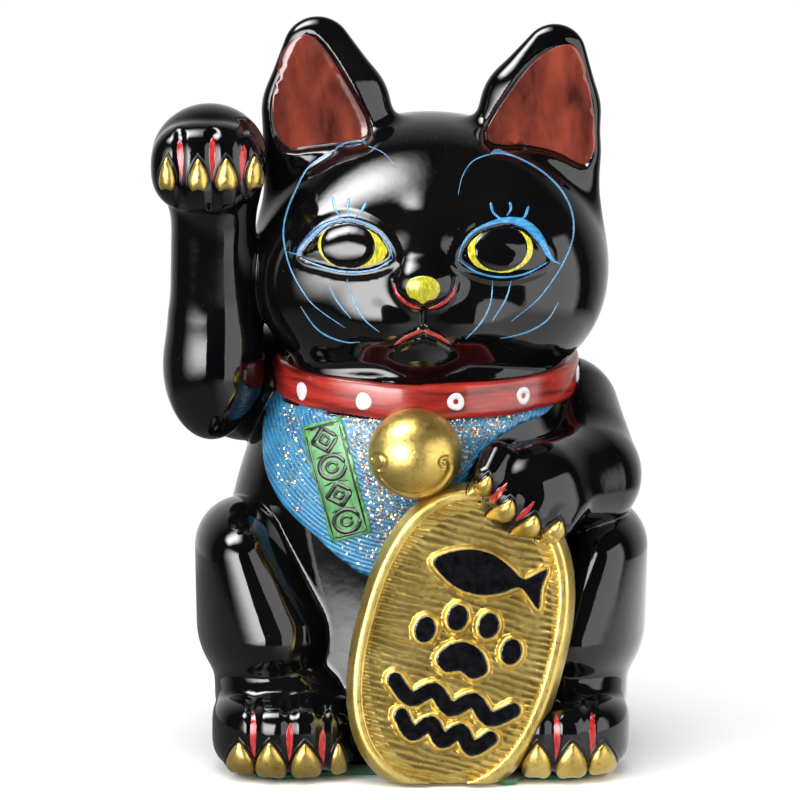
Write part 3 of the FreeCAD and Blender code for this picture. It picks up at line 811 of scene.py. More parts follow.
def set_world():
    """White to the camera; a soft fill for matt surfaces; to reflections, dark in front and pale behind."""
    world = bpy.data.worlds.new("studio")
    bpy.context.scene.world = world
    world.use_nodes = True
    nodes, link = world.node_tree.nodes, world.node_tree.links.new
    coord = nodes.new("ShaderNodeTexCoord")
    split = nodes.new("ShaderNodeSeparateXYZ")
    behind = nodes.new("ShaderNodeMapRange")
    around = nodes.new("ShaderNodeBackground")
    link(coord.outputs["Generated"], split.inputs[0])
    link(split.outputs["Y"], behind.inputs["Value"])
    for key, number in (("From Min", 0.35), ("From Max", 0.95), ("To Min", 0.02), ("To Max", 1.0)):
        behind.inputs[key].default_value = number
    link(behind.outputs["Result"], around.inputs["Strength"])
    fill = nodes.new("ShaderNodeBackground")
    fill.inputs["Color"].default_value = (0.98, 0.99, 1, 1)
    fill.inputs["Strength"].default_value = 0.75
    plain = nodes["Background"]
    plain.inputs["Color"].default_value = (1, 1, 1, 1)
    path = nodes.new("ShaderNodeLightPath")
    shown = fill.outputs[0]
    for ray, other in (("Is Glossy Ray", around), ("Is Camera Ray", plain)):
        mix = nodes.new("ShaderNodeMixShader")
        for socket, source in zip(mix.inputs, (path.outputs[ray], shown, other.outputs[0])):
            link(source, socket)
        shown = mix.outputs[0]
    link(shown, nodes["World Output"].inputs["Surface"])


def floor_material():
    """A pale table with a soft shadow by the cat, pure white further off; reflections see it only close by,
    as a painted glow.
    """
    n = Nodes("pale_table")
    n.finish(n.ramp(n.noise(60), [(0.3, (0.94, 0.94, 0.94)), (0.7, (0.97, 0.97, 0.97))]), 0.9)
    length = n.add("ShaderNodeVectorMath", operation="LENGTH")
    n.link(n.place, length.inputs[0])
    away = length.outputs["Value"]
    sideways = n.add("ShaderNodeSeparateXYZ")
    n.link(n.place, sideways.inputs[0])
    # To glossy rays near the cat the table is a painted glow, not lit: its strength goes from 0.2 to 1.1
    # towards +x.
    white, painted_table_glow = n.add("ShaderNodeEmission"), n.add("ShaderNodeEmission")
    n.link(n.span(sideways.outputs["X"], 0.2, 1.1, -0.05, 0.12), painted_table_glow.inputs["Strength"])
    gone = n.add("ShaderNodeBsdfTransparent")
    seen = n.blend(n.span(away, 0.0, 1.0, 0.10, 0.26), n.shader.outputs[0], white.outputs[0])
    mirrored = n.blend(n.span(away, 0.0, 1.0, 0.35, 0.5), painted_table_glow.outputs[0], gone.outputs[0])
    path = n.add("ShaderNodeLightPath")
    both = n.blend(path.outputs["Is Glossy Ray"], seen, mirrored)
    n.link(both, n.tree.nodes["Material Output"].inputs["Surface"])
    return n.material


def sheet(name, corners, material):
    """A flat stage piece."""
    mesh = bpy.data.meshes.new(name)
    mesh.from_pydata(corners, [], [(0, 1, 2, 3)])
    mesh.materials.append(material)
    obj = bpy.data.objects.new(name, mesh)
    bpy.context.scene.collection.objects.link(obj)
    return obj


def panel(name, corners, radiance, soft):
    """A bright diffuser that only reflections see. corners go round from the lower left; soft is how much
    of its left, right, lower and upper side fades out, as parts of its size."""
    n = Nodes(name)
    glow = n.add("ShaderNodeEmission")
    strength = None
    for first, last, fades in ((0, 1, soft[:2]), (0, 3, soft[2:])):
        across = [corners[last][i] - corners[first][i] for i in range(3)]
        size = sum(c * c for c in across)
        dot = n.add("ShaderNodeVectorMath", operation="DOT_PRODUCT")
        n.link(n.place, dot.inputs[0])
        dot.inputs[1].default_value = [c / size for c in across]
        start = sum(c * d for c, d in zip(corners[first], across)) / size
        for edge, inward, fade in ((start, 1, fades[0]), (start + 1, -1, fades[1])):
            step = n.add("ShaderNodeMapRange", interpolation_type="SMOOTHSTEP")
            for key, number in (("From Min", edge), ("From Max", edge + inward * max(fade, 0.01)),
                                ("To Min", 0.0), ("To Max", 1.0)):
                step.inputs[key].default_value = number
            n.link(dot.outputs["Value"], step.inputs["Value"])
            product = n.add("ShaderNodeMath", operation="MULTIPLY")
            product.inputs[1].default_value = radiance
            if strength:
                n.link(strength, product.inputs[1])
            n.link(step.outputs["Result"], product.inputs[0])
            strength = product.outputs[0]
    n.link(strength, glow.inputs["Strength"])
    n.link(glow.outputs[0], n.tree.nodes["Material Output"].inputs["Surface"])
    obj = sheet(name, corners, n.material)
    obj.visible_camera = False
    obj.visible_diffuse = False
    obj.visible_shadow = False


def upright(azimuth, low, high, away=1.6):
    """Corners of an upright sheet; azimuth is its two edges in degrees, negative to the camera's left."""
    turns = [math.radians(a) for a in azimuth]
    feet = [(away * math.sin(t), -away * math.cos(t)) for t in turns]
    return [(*feet[0], low), (*feet[1], low), (*feet[1], high), (*feet[0], high)]


def level(low, high, z):
    """Corners of a level sheet between two opposite corners."""
    return [(low[0], low[1], z), (high[0], low[1], z), (high[0], high[1], z), (low[0], high[1], z)]


def set_camera():
    lens = bpy.data.cameras.new("camera")
    lens.sensor_width = 36.0
    lens.lens = lens.sensor_width / FRAME_WIDTH * CAMERA_AWAY
    lens.clip_end = 60.0
    camera = bpy.data.objects.new("camera", lens)
    scene = bpy.context.scene
    scene.collection.objects.link(camera)
    back = Vector((0, -math.cos(VIEW_TILT), math.sin(VIEW_TILT)))
    aim(camera, AIM + back * CAMERA_AWAY, AIM)
    scene.camera = camera
    scene.view_settings.view_transform = "Standard"
    scene.view_settings.look = "None"


def set_stage():
    sheet("floor", level((-FLOOR_HALF, -FLOOR_HALF), (FLOOR_HALF, FLOOR_HALF), 0), floor_material())
    panel("left_diffuser", upright((-80, -16), -0.35, 1.1), 13.0, (0.75, 0.03, 0.42, 0.35))
    panel("right_diffuser", upright((28, 96), -1.4, 1.1), 2.3, (0.02, 0.2, 0.05, 0.05))
    panel("top_diffuser", level((-1.5, -0.66), (0.05, 0.26), 1.25), 22.0, (0.35, 0.35, 0.48, 0.48))
    for name, place, size, radiance in LIGHTS:
        softbox(name, place, size, radiance)
    set_camera()


# ---------------------------------------------------------------- paint

class Paint:
    """Strokes and patches laid on a surface from the front, kept as x, z and height above it."""

    def __init__(self):
        self.x, self.z, self.height, self.faces = [], [], [], []

    def add(self, x, z, height, faces):
        start = sum(len(part) for part in self.x)
        self.x.append(np.asarray(x, float))
        self.z.append(np.asarray(z, float))
        self.height.append(np.asarray(height, float))
        self.faces += [tuple(start + i for i in face) for face in faces]

    def stroke(self, points, width, lift=0.16, ends=(0.25, 0.25), base=0.0, smooth=6):
        """A closed strip along a line, of one width or several; ends are the parts of it that thin out."""
        line = np.array(smooth_line(points, smooth) if smooth else points, float)
        run = np.concatenate([[0], np.cumsum(np.sqrt((np.diff(line, axis=0) ** 2).sum(1)))])
        t = run / run[-1]
        thin = np.minimum(t / max(ends[0], 1e-3), (1 - t) / max(ends[1], 1e-3))
        thin = np.clip(thin, 0, 1)
        if np.ndim(width):
            width = np.interp(t, np.linspace(0, 1, len(width)), width)
        half = 0.5 * width * (0.12 + 0.88 * np.sqrt(thin))
        along = np.gradient(line, axis=0)
        along /= np.sqrt((along ** 2).sum(1, keepdims=True)) + 1e-9
        side = np.stack([-along[:, 1], along[:, 0]], -1)
        # The strip's section: places in half widths, and their heights.
        across = [-1.0, -0.6, 0.0, 0.6, 1.0, 0.0]
        rise = [-0.1, 0.8 * lift, lift, 0.8 * lift, -0.1, -0.35]
        x = np.stack([line[:, 0] + side[:, 0] * half * a for a in across], 1)
        z = np.stack([line[:, 1] + side[:, 1] * half * a for a in across], 1)
        height = np.tile(np.array(rise) + base, (len(line), 1))
        self.add(x.ravel(), z.ravel(), height.ravel(), tube(len(line), len(across)))

    def patch(self, outline, lift, spacing=1.6, edge=0.8, base=0.0, under=0.5):
        """A closed skin inside an outline, rounded off within edge of its border."""
        ring = np.array(outline, float)
        if ((ring[:, 0] * np.roll(ring[:, 1], -1)) - np.roll(ring[:, 0], -1) * ring[:, 1]).sum() < 0:
            ring = ring[::-1]
        low, high = ring.min(0), ring.max(0)
        row_gap = spacing * 0.866
        gx, gz = np.meshgrid(np.arange(low[0], high[0], spacing), np.arange(low[1], high[1], row_gap))
        gx = gx + (np.arange(gx.shape[0]) % 2)[:, None] * spacing * 0.5
        inner = np.stack([gx.ravel(), gz.ravel()], -1)
        inner = inner[outline_distance(inner[:, 0], inner[:, 1], ring) < -edge - 0.35 * spacing]
        along = np.roll(ring, -1, 0) - np.roll(ring, 1, 0)
        inward = unit(np.stack([-along[:, 1], along[:, 0]], -1))
        rings = []
        for part in (0.12, 0.45, 1.0):
            inset = ring + inward * edge * part
            far = outline_distance(inset[:, 0], inset[:, 1], ring) < -0.8 * edge * part
            rings.append(inset[far])
        points = np.concatenate([ring] + rings + [inner])
        made = geometry.delaunay_2d_cdt([Vector(p) for p in points], [], [list(range(len(ring)))], 1, 1e-6)
        flat = np.array([tuple(p) for p in made[0]])
        depth = np.clip(-outline_distance(flat[:, 0], flat[:, 1], ring), 0, None)
        shape = np.sqrt(np.clip(1 - (1 - np.clip(depth / edge, 0, 1)) ** 2, 0, 1))
        top = [tuple(f) for f in made[2]]
        n = len(flat)
        rim = depth < 1e-4
        lower = {i: (i if rim[i] else n + i) for i in range(n)}
        bottom = [tuple(lower[i] for i in reversed(f)) for f in top]
        height = np.concatenate([np.where(rim, -0.1, lift * shape), np.full(n, -under)]) + base
        self.add(np.tile(flat[:, 0], 2), np.tile(flat[:, 1], 2), height, top + bottom)

    def make(self, name, field, material, slot, replaces=(), origin=(0, 0, 0)):
        """Drapes everything on a field's surface, looking back along Y."""
        x, z, height = (np.concatenate(part) for part in (self.x, self.z, self.height))
        points = drape(field, x + origin[0], z + origin[2])
        normals = unit(slopes(field, points, 0.25))
        points = points + normals * height[:, None]
        obj = make_object(name, points, self.faces, material, None, "cat", replaces)
        tidy = bmesh.new()
        tidy.from_mesh(obj.data)
        bmesh.ops.delete(tidy, geom=[v for v in tidy.verts if not v.link_faces], context="VERTS")
        tidy.to_mesh(obj.data)
        tidy.free()


def drape(field, x, z):
    """The first points of a surface met on the way back; past its edge, the nearest one's depth."""
    p = np.stack([x, np.full(len(x), -130.0), z], -1).astype(float)
    for _ in range(80):
        p[:, 1] = np.minimum(p[:, 1] + np.clip(0.7 * field(p), -3.0, 20.0), 60.0)
    missed = np.abs(field(p)) > 0.6
    if missed.any() and not missed.all():
        hits = p[~missed]
        for i in np.flatnonzero(missed):
            p[i, 1] = hits[np.argmin((hits[:, 0] - p[i, 0]) ** 2 + (hits[:, 2] - p[i, 2]) ** 2), 1]
    return p


def oval(cx, cz, rx, rz, count):
    turns = [2 * math.pi * i / count for i in range(count)]
    return [(cx + rx * math.cos(t), cz + rz * math.sin(t)) for t in turns]


def between(a, b, parts):
    """Points on the way from a to b, at the given parts of it."""
    return [(a[0] + (b[0] - a[0]) * t, a[1] + (b[1] - a[1]) * t) for t in parts]


def clipped(shape, centre, outline, gap):
    """A shape drawn in towards its centre wherever it leaves an outline."""
    out = []
    for x, z in shape:
        steps = np.linspace(1.0, 0.0, 41)
        xs, zs = centre[0] + (x - centre[0]) * steps, centre[1] + (z - centre[1]) * steps
        ok = outline_distance(xs, zs, outline) < -gap
        k = int(np.argmax(ok))
        out.append((xs[k], zs[k]))
    return out


# ---------------------------------------------------------------- the face's paint

UPPER_LIDS = {
    "right": [(-15.2, 57.4), (-17.0, 63.0), (-22.5, 68.4), (-32.0, 71.4), (-41.5, 69.0), (-48.0, 63.6),
              (-52.2, 57.6), (-57.4, 57.4)],
    "left": [(10.4, 57.4), (12.6, 63.2), (17.8, 68.2), (28.0, 71.2), (36.6, 69.4), (42.6, 63.8),
             (46.8, 56.4), (51.0, 53.2)],
}
LID_WIDTHS = {
    "right": [0.8, 1.0, 1.1, 1.2, 1.1, 1.0, 1.0, 0.7],
    "left": [0.8, 1.1, 1.5, 2.4, 3.9, 4.1, 2.6, 0.8],
}
LOWER_LIDS = {
    "right": [(-51.5, 55.8), (-43.5, 53.2), (-33.0, 51.6), (-22.5, 52.8), (-15.2, 57.2)],
    "left": [(10.4, 57.0), (17.5, 52.0), (26.5, 49.7), (36.5, 50.6), (46.0, 54.8)],
}
LASHES = {
    "right": [[(-38.8, 78.8), (-37.8, 74.4), (-34.6, 71.4)], [(-32.6, 79.0), (-32.9, 75.2),
                                                              (-32.4, 72.0)],
              [(-25.6, 78.0), (-27.6, 74.4), (-30.4, 72.0)]],
    "left": [[(23.2, 77.8), (24.4, 74.0), (28.2, 71.2)], [(30.8, 77.6), (31.2, 75.0), (29.6, 72.8)],
             [(38.2, 75.6), (36.6, 72.0), (32.8, 70.2)]],
}
SHADE = [(-35.0, 71.6), (-42.5, 69.0), (-48.6, 63.0), (-53.2, 57.8)]
SHADE_WIDTHS = [1.2, 3.4, 4.0, 1.4]
BROWS = {
    "right": [(-14.0, 90.5), (-19.2, 95.2), (-27.6, 97.0), (-36.0, 95.4), (-43.5, 91.6), (-49.5, 86.5),
              (-54.8, 77.0), (-57.8, 69.0), (-58.4, 62.5), (-57.0, 55.4), (-54.8, 49.6), (-50.6, 42.6),
              (-45.6, 36.8), (-34.0, 29.0)],
    "left": [(10.4, 80.6), (12.2, 87.4), (16.4, 92.4), (23.6, 94.2), (31.6, 93.2), (40.0, 89.2),
             (46.4, 84.6), (51.4, 79.4), (55.0, 73.0), (56.2, 66.2), (55.0, 60.0), (51.2, 52.6),
             (46.0, 45.2), (40.8, 39.2), (31.2, 31.6)],
}
WHISKERS = [
    [(-51.6, 36.6), (-46.0, 28.6), (-40.8, 24.8), (-33.6, 22.6), (-28.0, 23.2)],
    [(-41.2, 48.4), (-37.6, 40.4), (-31.6, 33.0)],
    [(-33.2, 48.8), (-30.4, 39.6), (-26.4, 33.2), (-20.4, 28.2)],
    [(50.0, 38.6), (46.0, 31.8), (38.8, 27.2), (31.6, 25.2), (26.8, 24.6)],
    [(24.0, 48.4), (23.2, 39.8), (19.6, 32.2), (13.2, 25.0)],
    [(31.2, 48.2), (29.2, 40.8), (23.6, 32.0)],
]
NOSE_PATCH = [(-10.2, 47.2), (-8.4, 50.6), (-3.4, 52.0), (1.4, 50.6), (3.4, 46.9), (1.6, 43.0),
              (-1.2, 42.2), (-3.6, 40.6), (-6.2, 42.6), (-8.6, 43.4)]


def on_head(paint, name, material, slot, *nodes):
    """Lays paint on the head's surface."""
    paint.make(name, CASTING_SURFACE["head"], material, slot, nodes, origin=HEAD)


def paint_eyes():
    iris, pupil = Paint(), Paint()
    for name in EYES:
        outline = eye_outline(name)
        centre, half = IRISES[name]
        iris.patch(clipped(oval(*centre, *half, 48), centre, outline, 0.5), 0.18, 1.2, 0.6)
        centre, half = PUPILS[name]
        pupil.patch(clipped(oval(*centre, *half, 48), centre, outline, 0.3), 0.55, 1.2, 3.0)
    yellow = enamel("iris_yellow", (0.30, 0.30, 0.01), (0.90, 0.78, 0.05), (3.0, 1, 1.0), size=2.2)
    on_head(iris, "irises", yellow, "yellow_enamel")
    on_head(pupil, "pupils", GLAZE, "black_enamel", "right_eye", "left_eye")


def paint_lids():
    lines, shade = Paint(), Paint()
    for name in EYES:
        lines.stroke(UPPER_LIDS[name], LID_WIDTHS[name], ends=(0.12, 0.1))
        lines.stroke(LOWER_LIDS[name], 0.85, ends=(0.2, 0.2))
        for lash in LASHES[name]:
            lines.stroke(lash, 1.3, ends=(0.1, 0.8))
    shade.stroke(SHADE, SHADE_WIDTHS, 0.08, (0.1, 0.1))
    blue = enamel("lid_blue", (0.02, 0.16, 0.42), (0.07, 0.36, 0.66), (1, 1, 2.0))
    dusk = enamel("lid_shade_blue", (0.008, 0.03, 0.10), (0.03, 0.11, 0.28), (1, 1, 3))
    on_head(lines, "eyelid_lines", blue, "blue_enamel")
    on_head(shade, "eyelid_shade", dusk, "blue_enamel")


def paint_brows():
    thin = Paint()
    for name in EYES:
        thin.stroke(BROWS[name], 0.8, 0.12, ends=(0.45, 0.3))
    for line in WHISKERS:
        thin.stroke(line, 0.9, 0.12, ends=(0.5, 0.35))
    sky = enamel("brow_blue", (0.05, 0.20, 0.42), (0.13, 0.38, 0.62), (1, 1, 1))
    on_head(thin, "brow_and_whisker_lines", sky, "light_blue_enamel")


def paint_muzzle(lip_red, line_red):
    nose, mouth, nostril = Paint(), Paint(), Paint()
    nose.patch(smooth_line(NOSE_PATCH, 3, closed=True), 0.35, 0.9, 0.6)
    ochre = enamel("nose_yellow", (0.26, 0.25, 0.01), (0.62, 0.56, 0.03), (3.0, 1, 1.0), size=2.0)
    on_head(nose, "nose_paint", ochre, "yellow_enamel", "nose_pad")
    for line, ends in zip(LIP_LINES, ((0.45, 0.02), (0.02, 0.45))):
        mouth.stroke([(x, z + 0.2) for x, z in line], 2.3, 0.25, ends)
    on_head(mouth, "lip_paint", lip_red, "red_enamel", "lips")
    for line in NOSTRILS:
        nostril.stroke(line, 1.9, 0.3, ends=(0.35, 0.3))
    on_head(nostril, "nostril_paint", line_red, "red_enamel")


def line_ears():
    red = enamel("ear_red", (0.060, 0.012, 0.009), (0.30, 0.055, 0.030), (0.9, 1, 0.35), (0, 0.35, 0),
                 9.0, (0.08, 0.2))
    for name, outline in EAR_OUTLINES.items():
        lining = Paint()
        lining.patch(smooth_line(outline, 3, closed=True), 0.5, 2.0, 1.6)
        on_head(lining, name + "_ear_lining_paint", red, "ear_red_enamel", name + "_ear_lining")


# ---------------------------------------------------------------- collar, bib, charm and glitter

DOT_ANGLES = [-54, -24, 11, 39] + [82 + 27 * k for k in range(8)]
RINGED_DOTS = (11, 39)


def collar_point(angle, out, up):
    """A point by the collar: the angle from straight ahead, how far out of its face, how far up."""
    dip = 0.7 * math.sin(2.4 * angle + 0.6) * math.cos(angle) + 0.3 * math.sin(9 * angle)
    x = (COLLAR_HALF[0] + out) * math.sin(angle)
    y = -(COLLAR_HALF[1] + out) * math.cos(angle)
    tipped = up + dip * 0.8
    return (NECK[0] + x, NECK[1] + y * math.cos(COLLAR_TIP) - tipped * math.sin(COLLAR_TIP) * 0.2,
            NECK[2] + tipped + y * math.sin(COLLAR_TIP))


COLLAR_SECTION = [(-6.0, -6.4), (-2.0, -7.2), (-0.9, -7.0), (-0.25, -6.0), (0.0, -4.0), (0.0, 0.0),
                  (0.0, 4.0), (-0.25, 6.0), (-0.9, 7.0), (-2.0, 7.2), (-6.0, 6.4)]


def build_collar(red):
    count = 180
    points = []
    for i in range(count):
        angle = 2 * math.pi * i / count
        points += [collar_point(angle, out, up) for out, up in COLLAR_SECTION]
    faces = np.array(net(count, len(COLLAR_SECTION), loop=True, ring=True))
    make_object("collar_band", points, faces, red, None, "cat", ["collar"])


def build_dots(white):
    """Slightly domed spots; two of them on the cat's left have a bare middle."""
    points, faces = [], []
    count = 20
    for number, degrees in enumerate(DOT_ANGLES):
        middle = [(1.4, 0.5), (0.9, -0.2)] if degrees in RINGED_DOTS else [(1.6, 0.6), (0.5, 0.6)]
        rings = [(3.3, -0.4), (3.3, 0.15), (2.9, 0.45)] + middle
        faces += tube(len(rings), count, len(points), turned=True)
        for r, out in rings:
            for k in range(count):
                t = 2 * math.pi * k / count
                wobble = 1 + 0.05 * math.sin(2 * t + number) + 0.04 * math.sin(3 * t + 2 * number)
                angle = math.radians(degrees) + r * wobble * math.cos(t) / COLLAR_HALF[0]
                points.append(collar_point(angle, out, r * 1.12 * wobble * math.sin(t)))
    make_object("collar_spots", points, faces, white, None, "cat", ["collar_dots"])


BIB_OUTLINE = [(-57.0, 149.5), (-61.8, 138.0), (-63.0, 127.4), (-61.8, 116.6), (-56.8, 106.6),
               (-50.0, 99.4), (-42.0, 93.0), (-34.0, 86.0), (-24.0, 79.0), (-10.0, 75.0), (4.0, 79.0),
               (12.0, 92.0), (15.4, 108.0), (18.6, 119.0), (25.6, 129.4), (37.6, 137.0), (49.6, 140.4),
               (54.0, 146.0), (48.0, 150.5), (0.0, 150.5)]
CHARM_CORNERS = [(-47.4, 135.6), (-31.0, 142.0), (-19.0, 96.2), (-35.4, 90.8)]
BIB_LIFT = 0.7          # how far the bib's enamel stands out of the trunk
INK_BASE = BIB_LIFT + 0.55
CORNERS = [(0, 0), (1, 0), (1, 1), (0, 1)]


def chest(p):
    """The trunk's own surface; the arms cross in front of the bib."""
    return joined(p, ["torso"])[0]


def on_charm(u, v):
    """A place on the charm: u across and v up, each from 0 to 1."""
    top_left, top_right, low_right, low_left = [np.array(c) for c in CHARM_CORNERS]
    left, right = low_left + (top_left - low_left) * v, low_right + (top_right - low_right) * v
    return tuple(left + (right - left) * u)


def charm_frame(ink):
    corners = [(0.10, 0.035), (0.90, 0.035), (0.90, 0.965), (0.10, 0.965)]
    for a, b in zip(corners, corners[1:] + corners[:1]):
        line = [on_charm(u, v) for u, v in between(a, b, np.linspace(-0.01, 1.01, 9))]
        ink.stroke(line, 1.0, 0.12, (0.01, 0.01), INK_BASE, 0)


def charm_ornament(ink, v, corners):
    """Two rings, or two diamonds with four corners, one in the other, and a small roof over them."""
    for size, width in ((1.0, 1.9), (0.42, 1.5)):
        turns = [2 * math.pi * k / corners for k in range(corners + 1)]
        loop = [on_charm(0.5 + 0.30 * size * math.cos(t), v + 0.098 * size * math.sin(t)) for t in turns]
        if corners == 4:
            loop = [c for a, b in zip(loop, loop[1:]) for c in between(a, b, np.linspace(0, 1, 5))]
        ink.stroke(loop, width, 0.12, (0.02, 0.02), INK_BASE, 0)
    for side in (-1, 1):
        roof = [on_charm(0.5 + side * 0.06 + 0.24 * side * t, v + 0.116 - 0.02 * t)
                for t in np.linspace(0, 1, 5)]
        ink.stroke(roof, 0.8, 0.12, (0.1, 0.3), INK_BASE, 0)


def charm_print():
    """A thin frame and four plain ornaments: no lettering."""
    ink = Paint()
    charm_frame(ink)
    for v, corners in ((0.15, 20), (0.385, 4), (0.62, 20), (0.85, 4)):
        charm_ornament(ink, v, corners)
    return ink


GLITTER_PATCHES = [             # share, middle in x and z, spread across and up
    (0.8, -12, 97, 15.0, 13.0),
    (1.3, 33, 142, 15.0, 8.0),
    (0.7, -50, 126, 6.0, 22.0),
    (0.5, -30, 144, 14.0, 6.0),
]
FLAKE_CORNERS = 5


def glitter_share(x, z):
    """How likely glitter is to stick at a place on the bib, from 0 to 1."""
    bell = math.hypot(x - BELL[0], z - BELL[2])
    share = 0.9 * math.exp(-((bell - 21) / 9.0) ** 2)
    for most, cx, cz, wide, high in GLITTER_PATCHES:
        share += most * math.exp(-(((x - cx) / wide) ** 2 + ((z - cz) / high) ** 2))
    return min(share, 1.0)


def glitter_spots(rng):
    """Where flakes stick, clear of the bib's border and of the charm."""
    wanted = 2600
    border, spots = np.array(BIB_OUTLINE), []
    while len(spots) < wanted:
        x, z = rng.uniform(-60, 54), rng.uniform(76, 149)
        inside = -outline_distance(np.array([x]), np.array([z]), border)[0]
        if inside > 3.0 and rng.uniform() < glitter_share(x, z):
            spots.append((x, z))
    spots = np.array(spots)
    return spots[outline_distance(spots[:, 0], spots[:, 1], np.array(CHARM_CORNERS)) >= 0.6]


def glitter_gold():
    """Flakes from copper to pale gold."""
    n = Nodes("gold_glitter")
    pick = n.noise(1.3, 0.0)
    colour = n.ramp(pick, [(0.36, (0.42, 0.18, 0.05)), (0.47, (0.85, 0.48, 0.16)),
                           (0.57, (0.95, 0.72, 0.38)), (0.66, (0.95, 0.90, 0.80))])
    n.bumps([(n.noise(0.3, 1.0), 0.01)])
    return n.finish(colour, n.span(pick, 0.2, 0.4), metallic=0.75)


def build_glitter():
    """Gold flakes caught in the bib's enamel, each tilted its own way."""
    rng = np.random.default_rng(7)
    spots = glitter_spots(rng)
    seats = drape(chest, spots[:, 0], spots[:, 1])
    normals = unit(slopes(chest, seats, 0.25))
    turns = [2 * math.pi * k / FLAKE_CORNERS for k in range(FLAKE_CORNERS)]
    points, faces = [], []
    for seat, normal in zip(seats, normals):
        tilt = unit(normal + rng.normal(0, 0.28, 3))
        u = unit(np.cross(tilt, rng.normal(0, 1, 3)))
        v = np.cross(tilt, u)
        size = rng.uniform(0.22, 0.48)
        centre = seat + normal * (BIB_LIFT + 0.06)
        faces += tube(2, FLAKE_CORNERS, len(points), turned=True)
        for lift in (-0.10, 0.10):
            points += [centre + (u * math.cos(t) + v * math.sin(t)) * size + tilt * lift for t in turns]
    flakes = make_object("bib_glitter", points, faces, glitter_gold(), None, "cat")
    flakes.data.shade_flat()


def bib_blue():
    """Raked blue enamel: concentric brush drag round the throat."""
    n = Nodes("bib_blue")
    shift = n.add("ShaderNodeMapping")
    shift.inputs["Location"].default_value = (0.006, 0, -0.152)
    n.link(n.place, shift.inputs["Vector"])
    wave = n.add("ShaderNodeTexWave", wave_type="RINGS", rings_direction="Y")
    wave.inputs["Scale"].default_value = 190.0
    wave.inputs["Distortion"].default_value = 1.4
    wave.inputs["Detail"].default_value = 3.0
    wave.inputs["Detail Scale"].default_value = 0.25
    n.link(shift.outputs["Vector"], wave.inputs["Vector"])
    patches = n.noise(9, 4.0)
    blue = n.ramp(patches, [(0.30, (0.008, 0.10, 0.24)), (0.5, (0.015, 0.18, 0.37)),
                            (0.72, (0.04, 0.27, 0.48))])
    pale = n.mix(n.span(wave.outputs["Fac"], 0.0, 0.30, 0.55, 1.0), blue, (0.20, 0.46, 0.62))
    n.bumps([(wave.outputs["Fac"], 0.12), (n.noise(1.2, 4.0), 0.10)])
    return n.finish(pale, n.span(n.noise(3.0), 0.22, 0.45), coat=0.25)


def lay_bib():
    bib = Paint()
    bib.patch(smooth_line(BIB_OUTLINE, 3, closed=True), BIB_LIFT, 2.0, 0.9, under=0.6)
    bib.make("bib_enamel", chest, bib_blue(), "blue_enamel", ["bib"])


def lay_charm():
    """A green panel on the bib, with its frame and ornaments."""
    label = Paint()
    border = [on_charm(u, v) for a, b in zip(CORNERS, CORNERS[1:] + CORNERS[:1])
              for u, v in between(a, b, np.linspace(0, 0.92, 12))]
    label.patch(border, 0.5, 1.8, 0.4, BIB_LIFT, 0.4)
    green = enamel("charm_green", (0.035, 0.20, 0.045), (0.15, 0.43, 0.15), (1, 1, 0.5), size=2.5,
                   rough=(0.3, 0.5))
    label.make("charm_panel", chest, green, "green_enamel", ["charm_label"])
    ink = enamel("charm_black", (0.004, 0.004, 0.004), (0.02, 0.02, 0.022), size=1.5)
    charm_print().make("charm_ornaments", chest, ink, "black_enamel")


def dress_neck():
    build_collar(enamel("collar_red", (0.115, 0.010, 0.006), (0.50, 0.032, 0.022), (0.35, 0.35, 2.6),
                        size=7.0, rough=(0.14, 0.26), depth=0.06))
    build_dots(enamel("spot_white", (0.74, 0.74, 0.76), (0.92, 0.92, 0.92)))
    lay_bib()
    lay_charm()
    build_glitter()


# ---------------------------------------------------------------- gold

BELL_HALF = (18.5, 18.5, 17.9)
BELL_HOOKS = [[(-16.2, -0.6), (-15.6, 1.0), (-13.8, 1.6), (-12.0, 0.4), (-12.0, -1.9), (-13.6, -4.4)],
              [(13.6, -2.6), (12.9, 0.4), (10.9, 0.7), (10.0, -0.9), (11.0, -2.5)]]
BELL_SMILE = [(-13.2, -6.2), (-12.3, -8.1), (-7.3, -12.5), (0, -14.4), (7.8, -11.9), (12.8, -6.3),
              (13.6, -2.6)]


def bell_field(p):
    """A ball with its mouth pressed in as a curve between two hooks, and a seam."""
    q = p - BELL
    cut = 0.8 * bump(line_distance(q[:, 0], q[:, 2], smooth_line(BELL_SMILE)), 1.7)
    for hook in BELL_HOOKS:
        cut = np.maximum(cut, 0.9 * bump(line_distance(q[:, 0], q[:, 2], smooth_line(hook)), 1.5))
    front = np.clip(-q[:, 1] / 3.0, 0, 1)
    seam = 0.35 * bump(q[:, 1] - 3.0, 1.2)
    return egg(q, (0, 0, 0), BELL_HALF) + cut * front + seam


def build_bell(material):
    low, high = BELL - 20, BELL + 20
    build_solid("jingle_bell", bell_field, low, high, 0.55, 0.08, material, "bell")


def coin_axes():
    """The coin's own directions as rows: across, back and up."""
    ct, st, cl, sl = math.cos(COIN_TIP), math.sin(COIN_TIP), math.cos(COIN_LEAN), math.sin(COIN_LEAN)
    across = np.array([ct, 0, -st])
    up = np.array([st, 0, ct])
    lean = np.array([[1, 0, 0], [0, cl, sl], [0, -sl, cl]])
    return np.stack([lean @ across, lean @ np.array([0.0, 1.0, 0.0]), lean @ up])


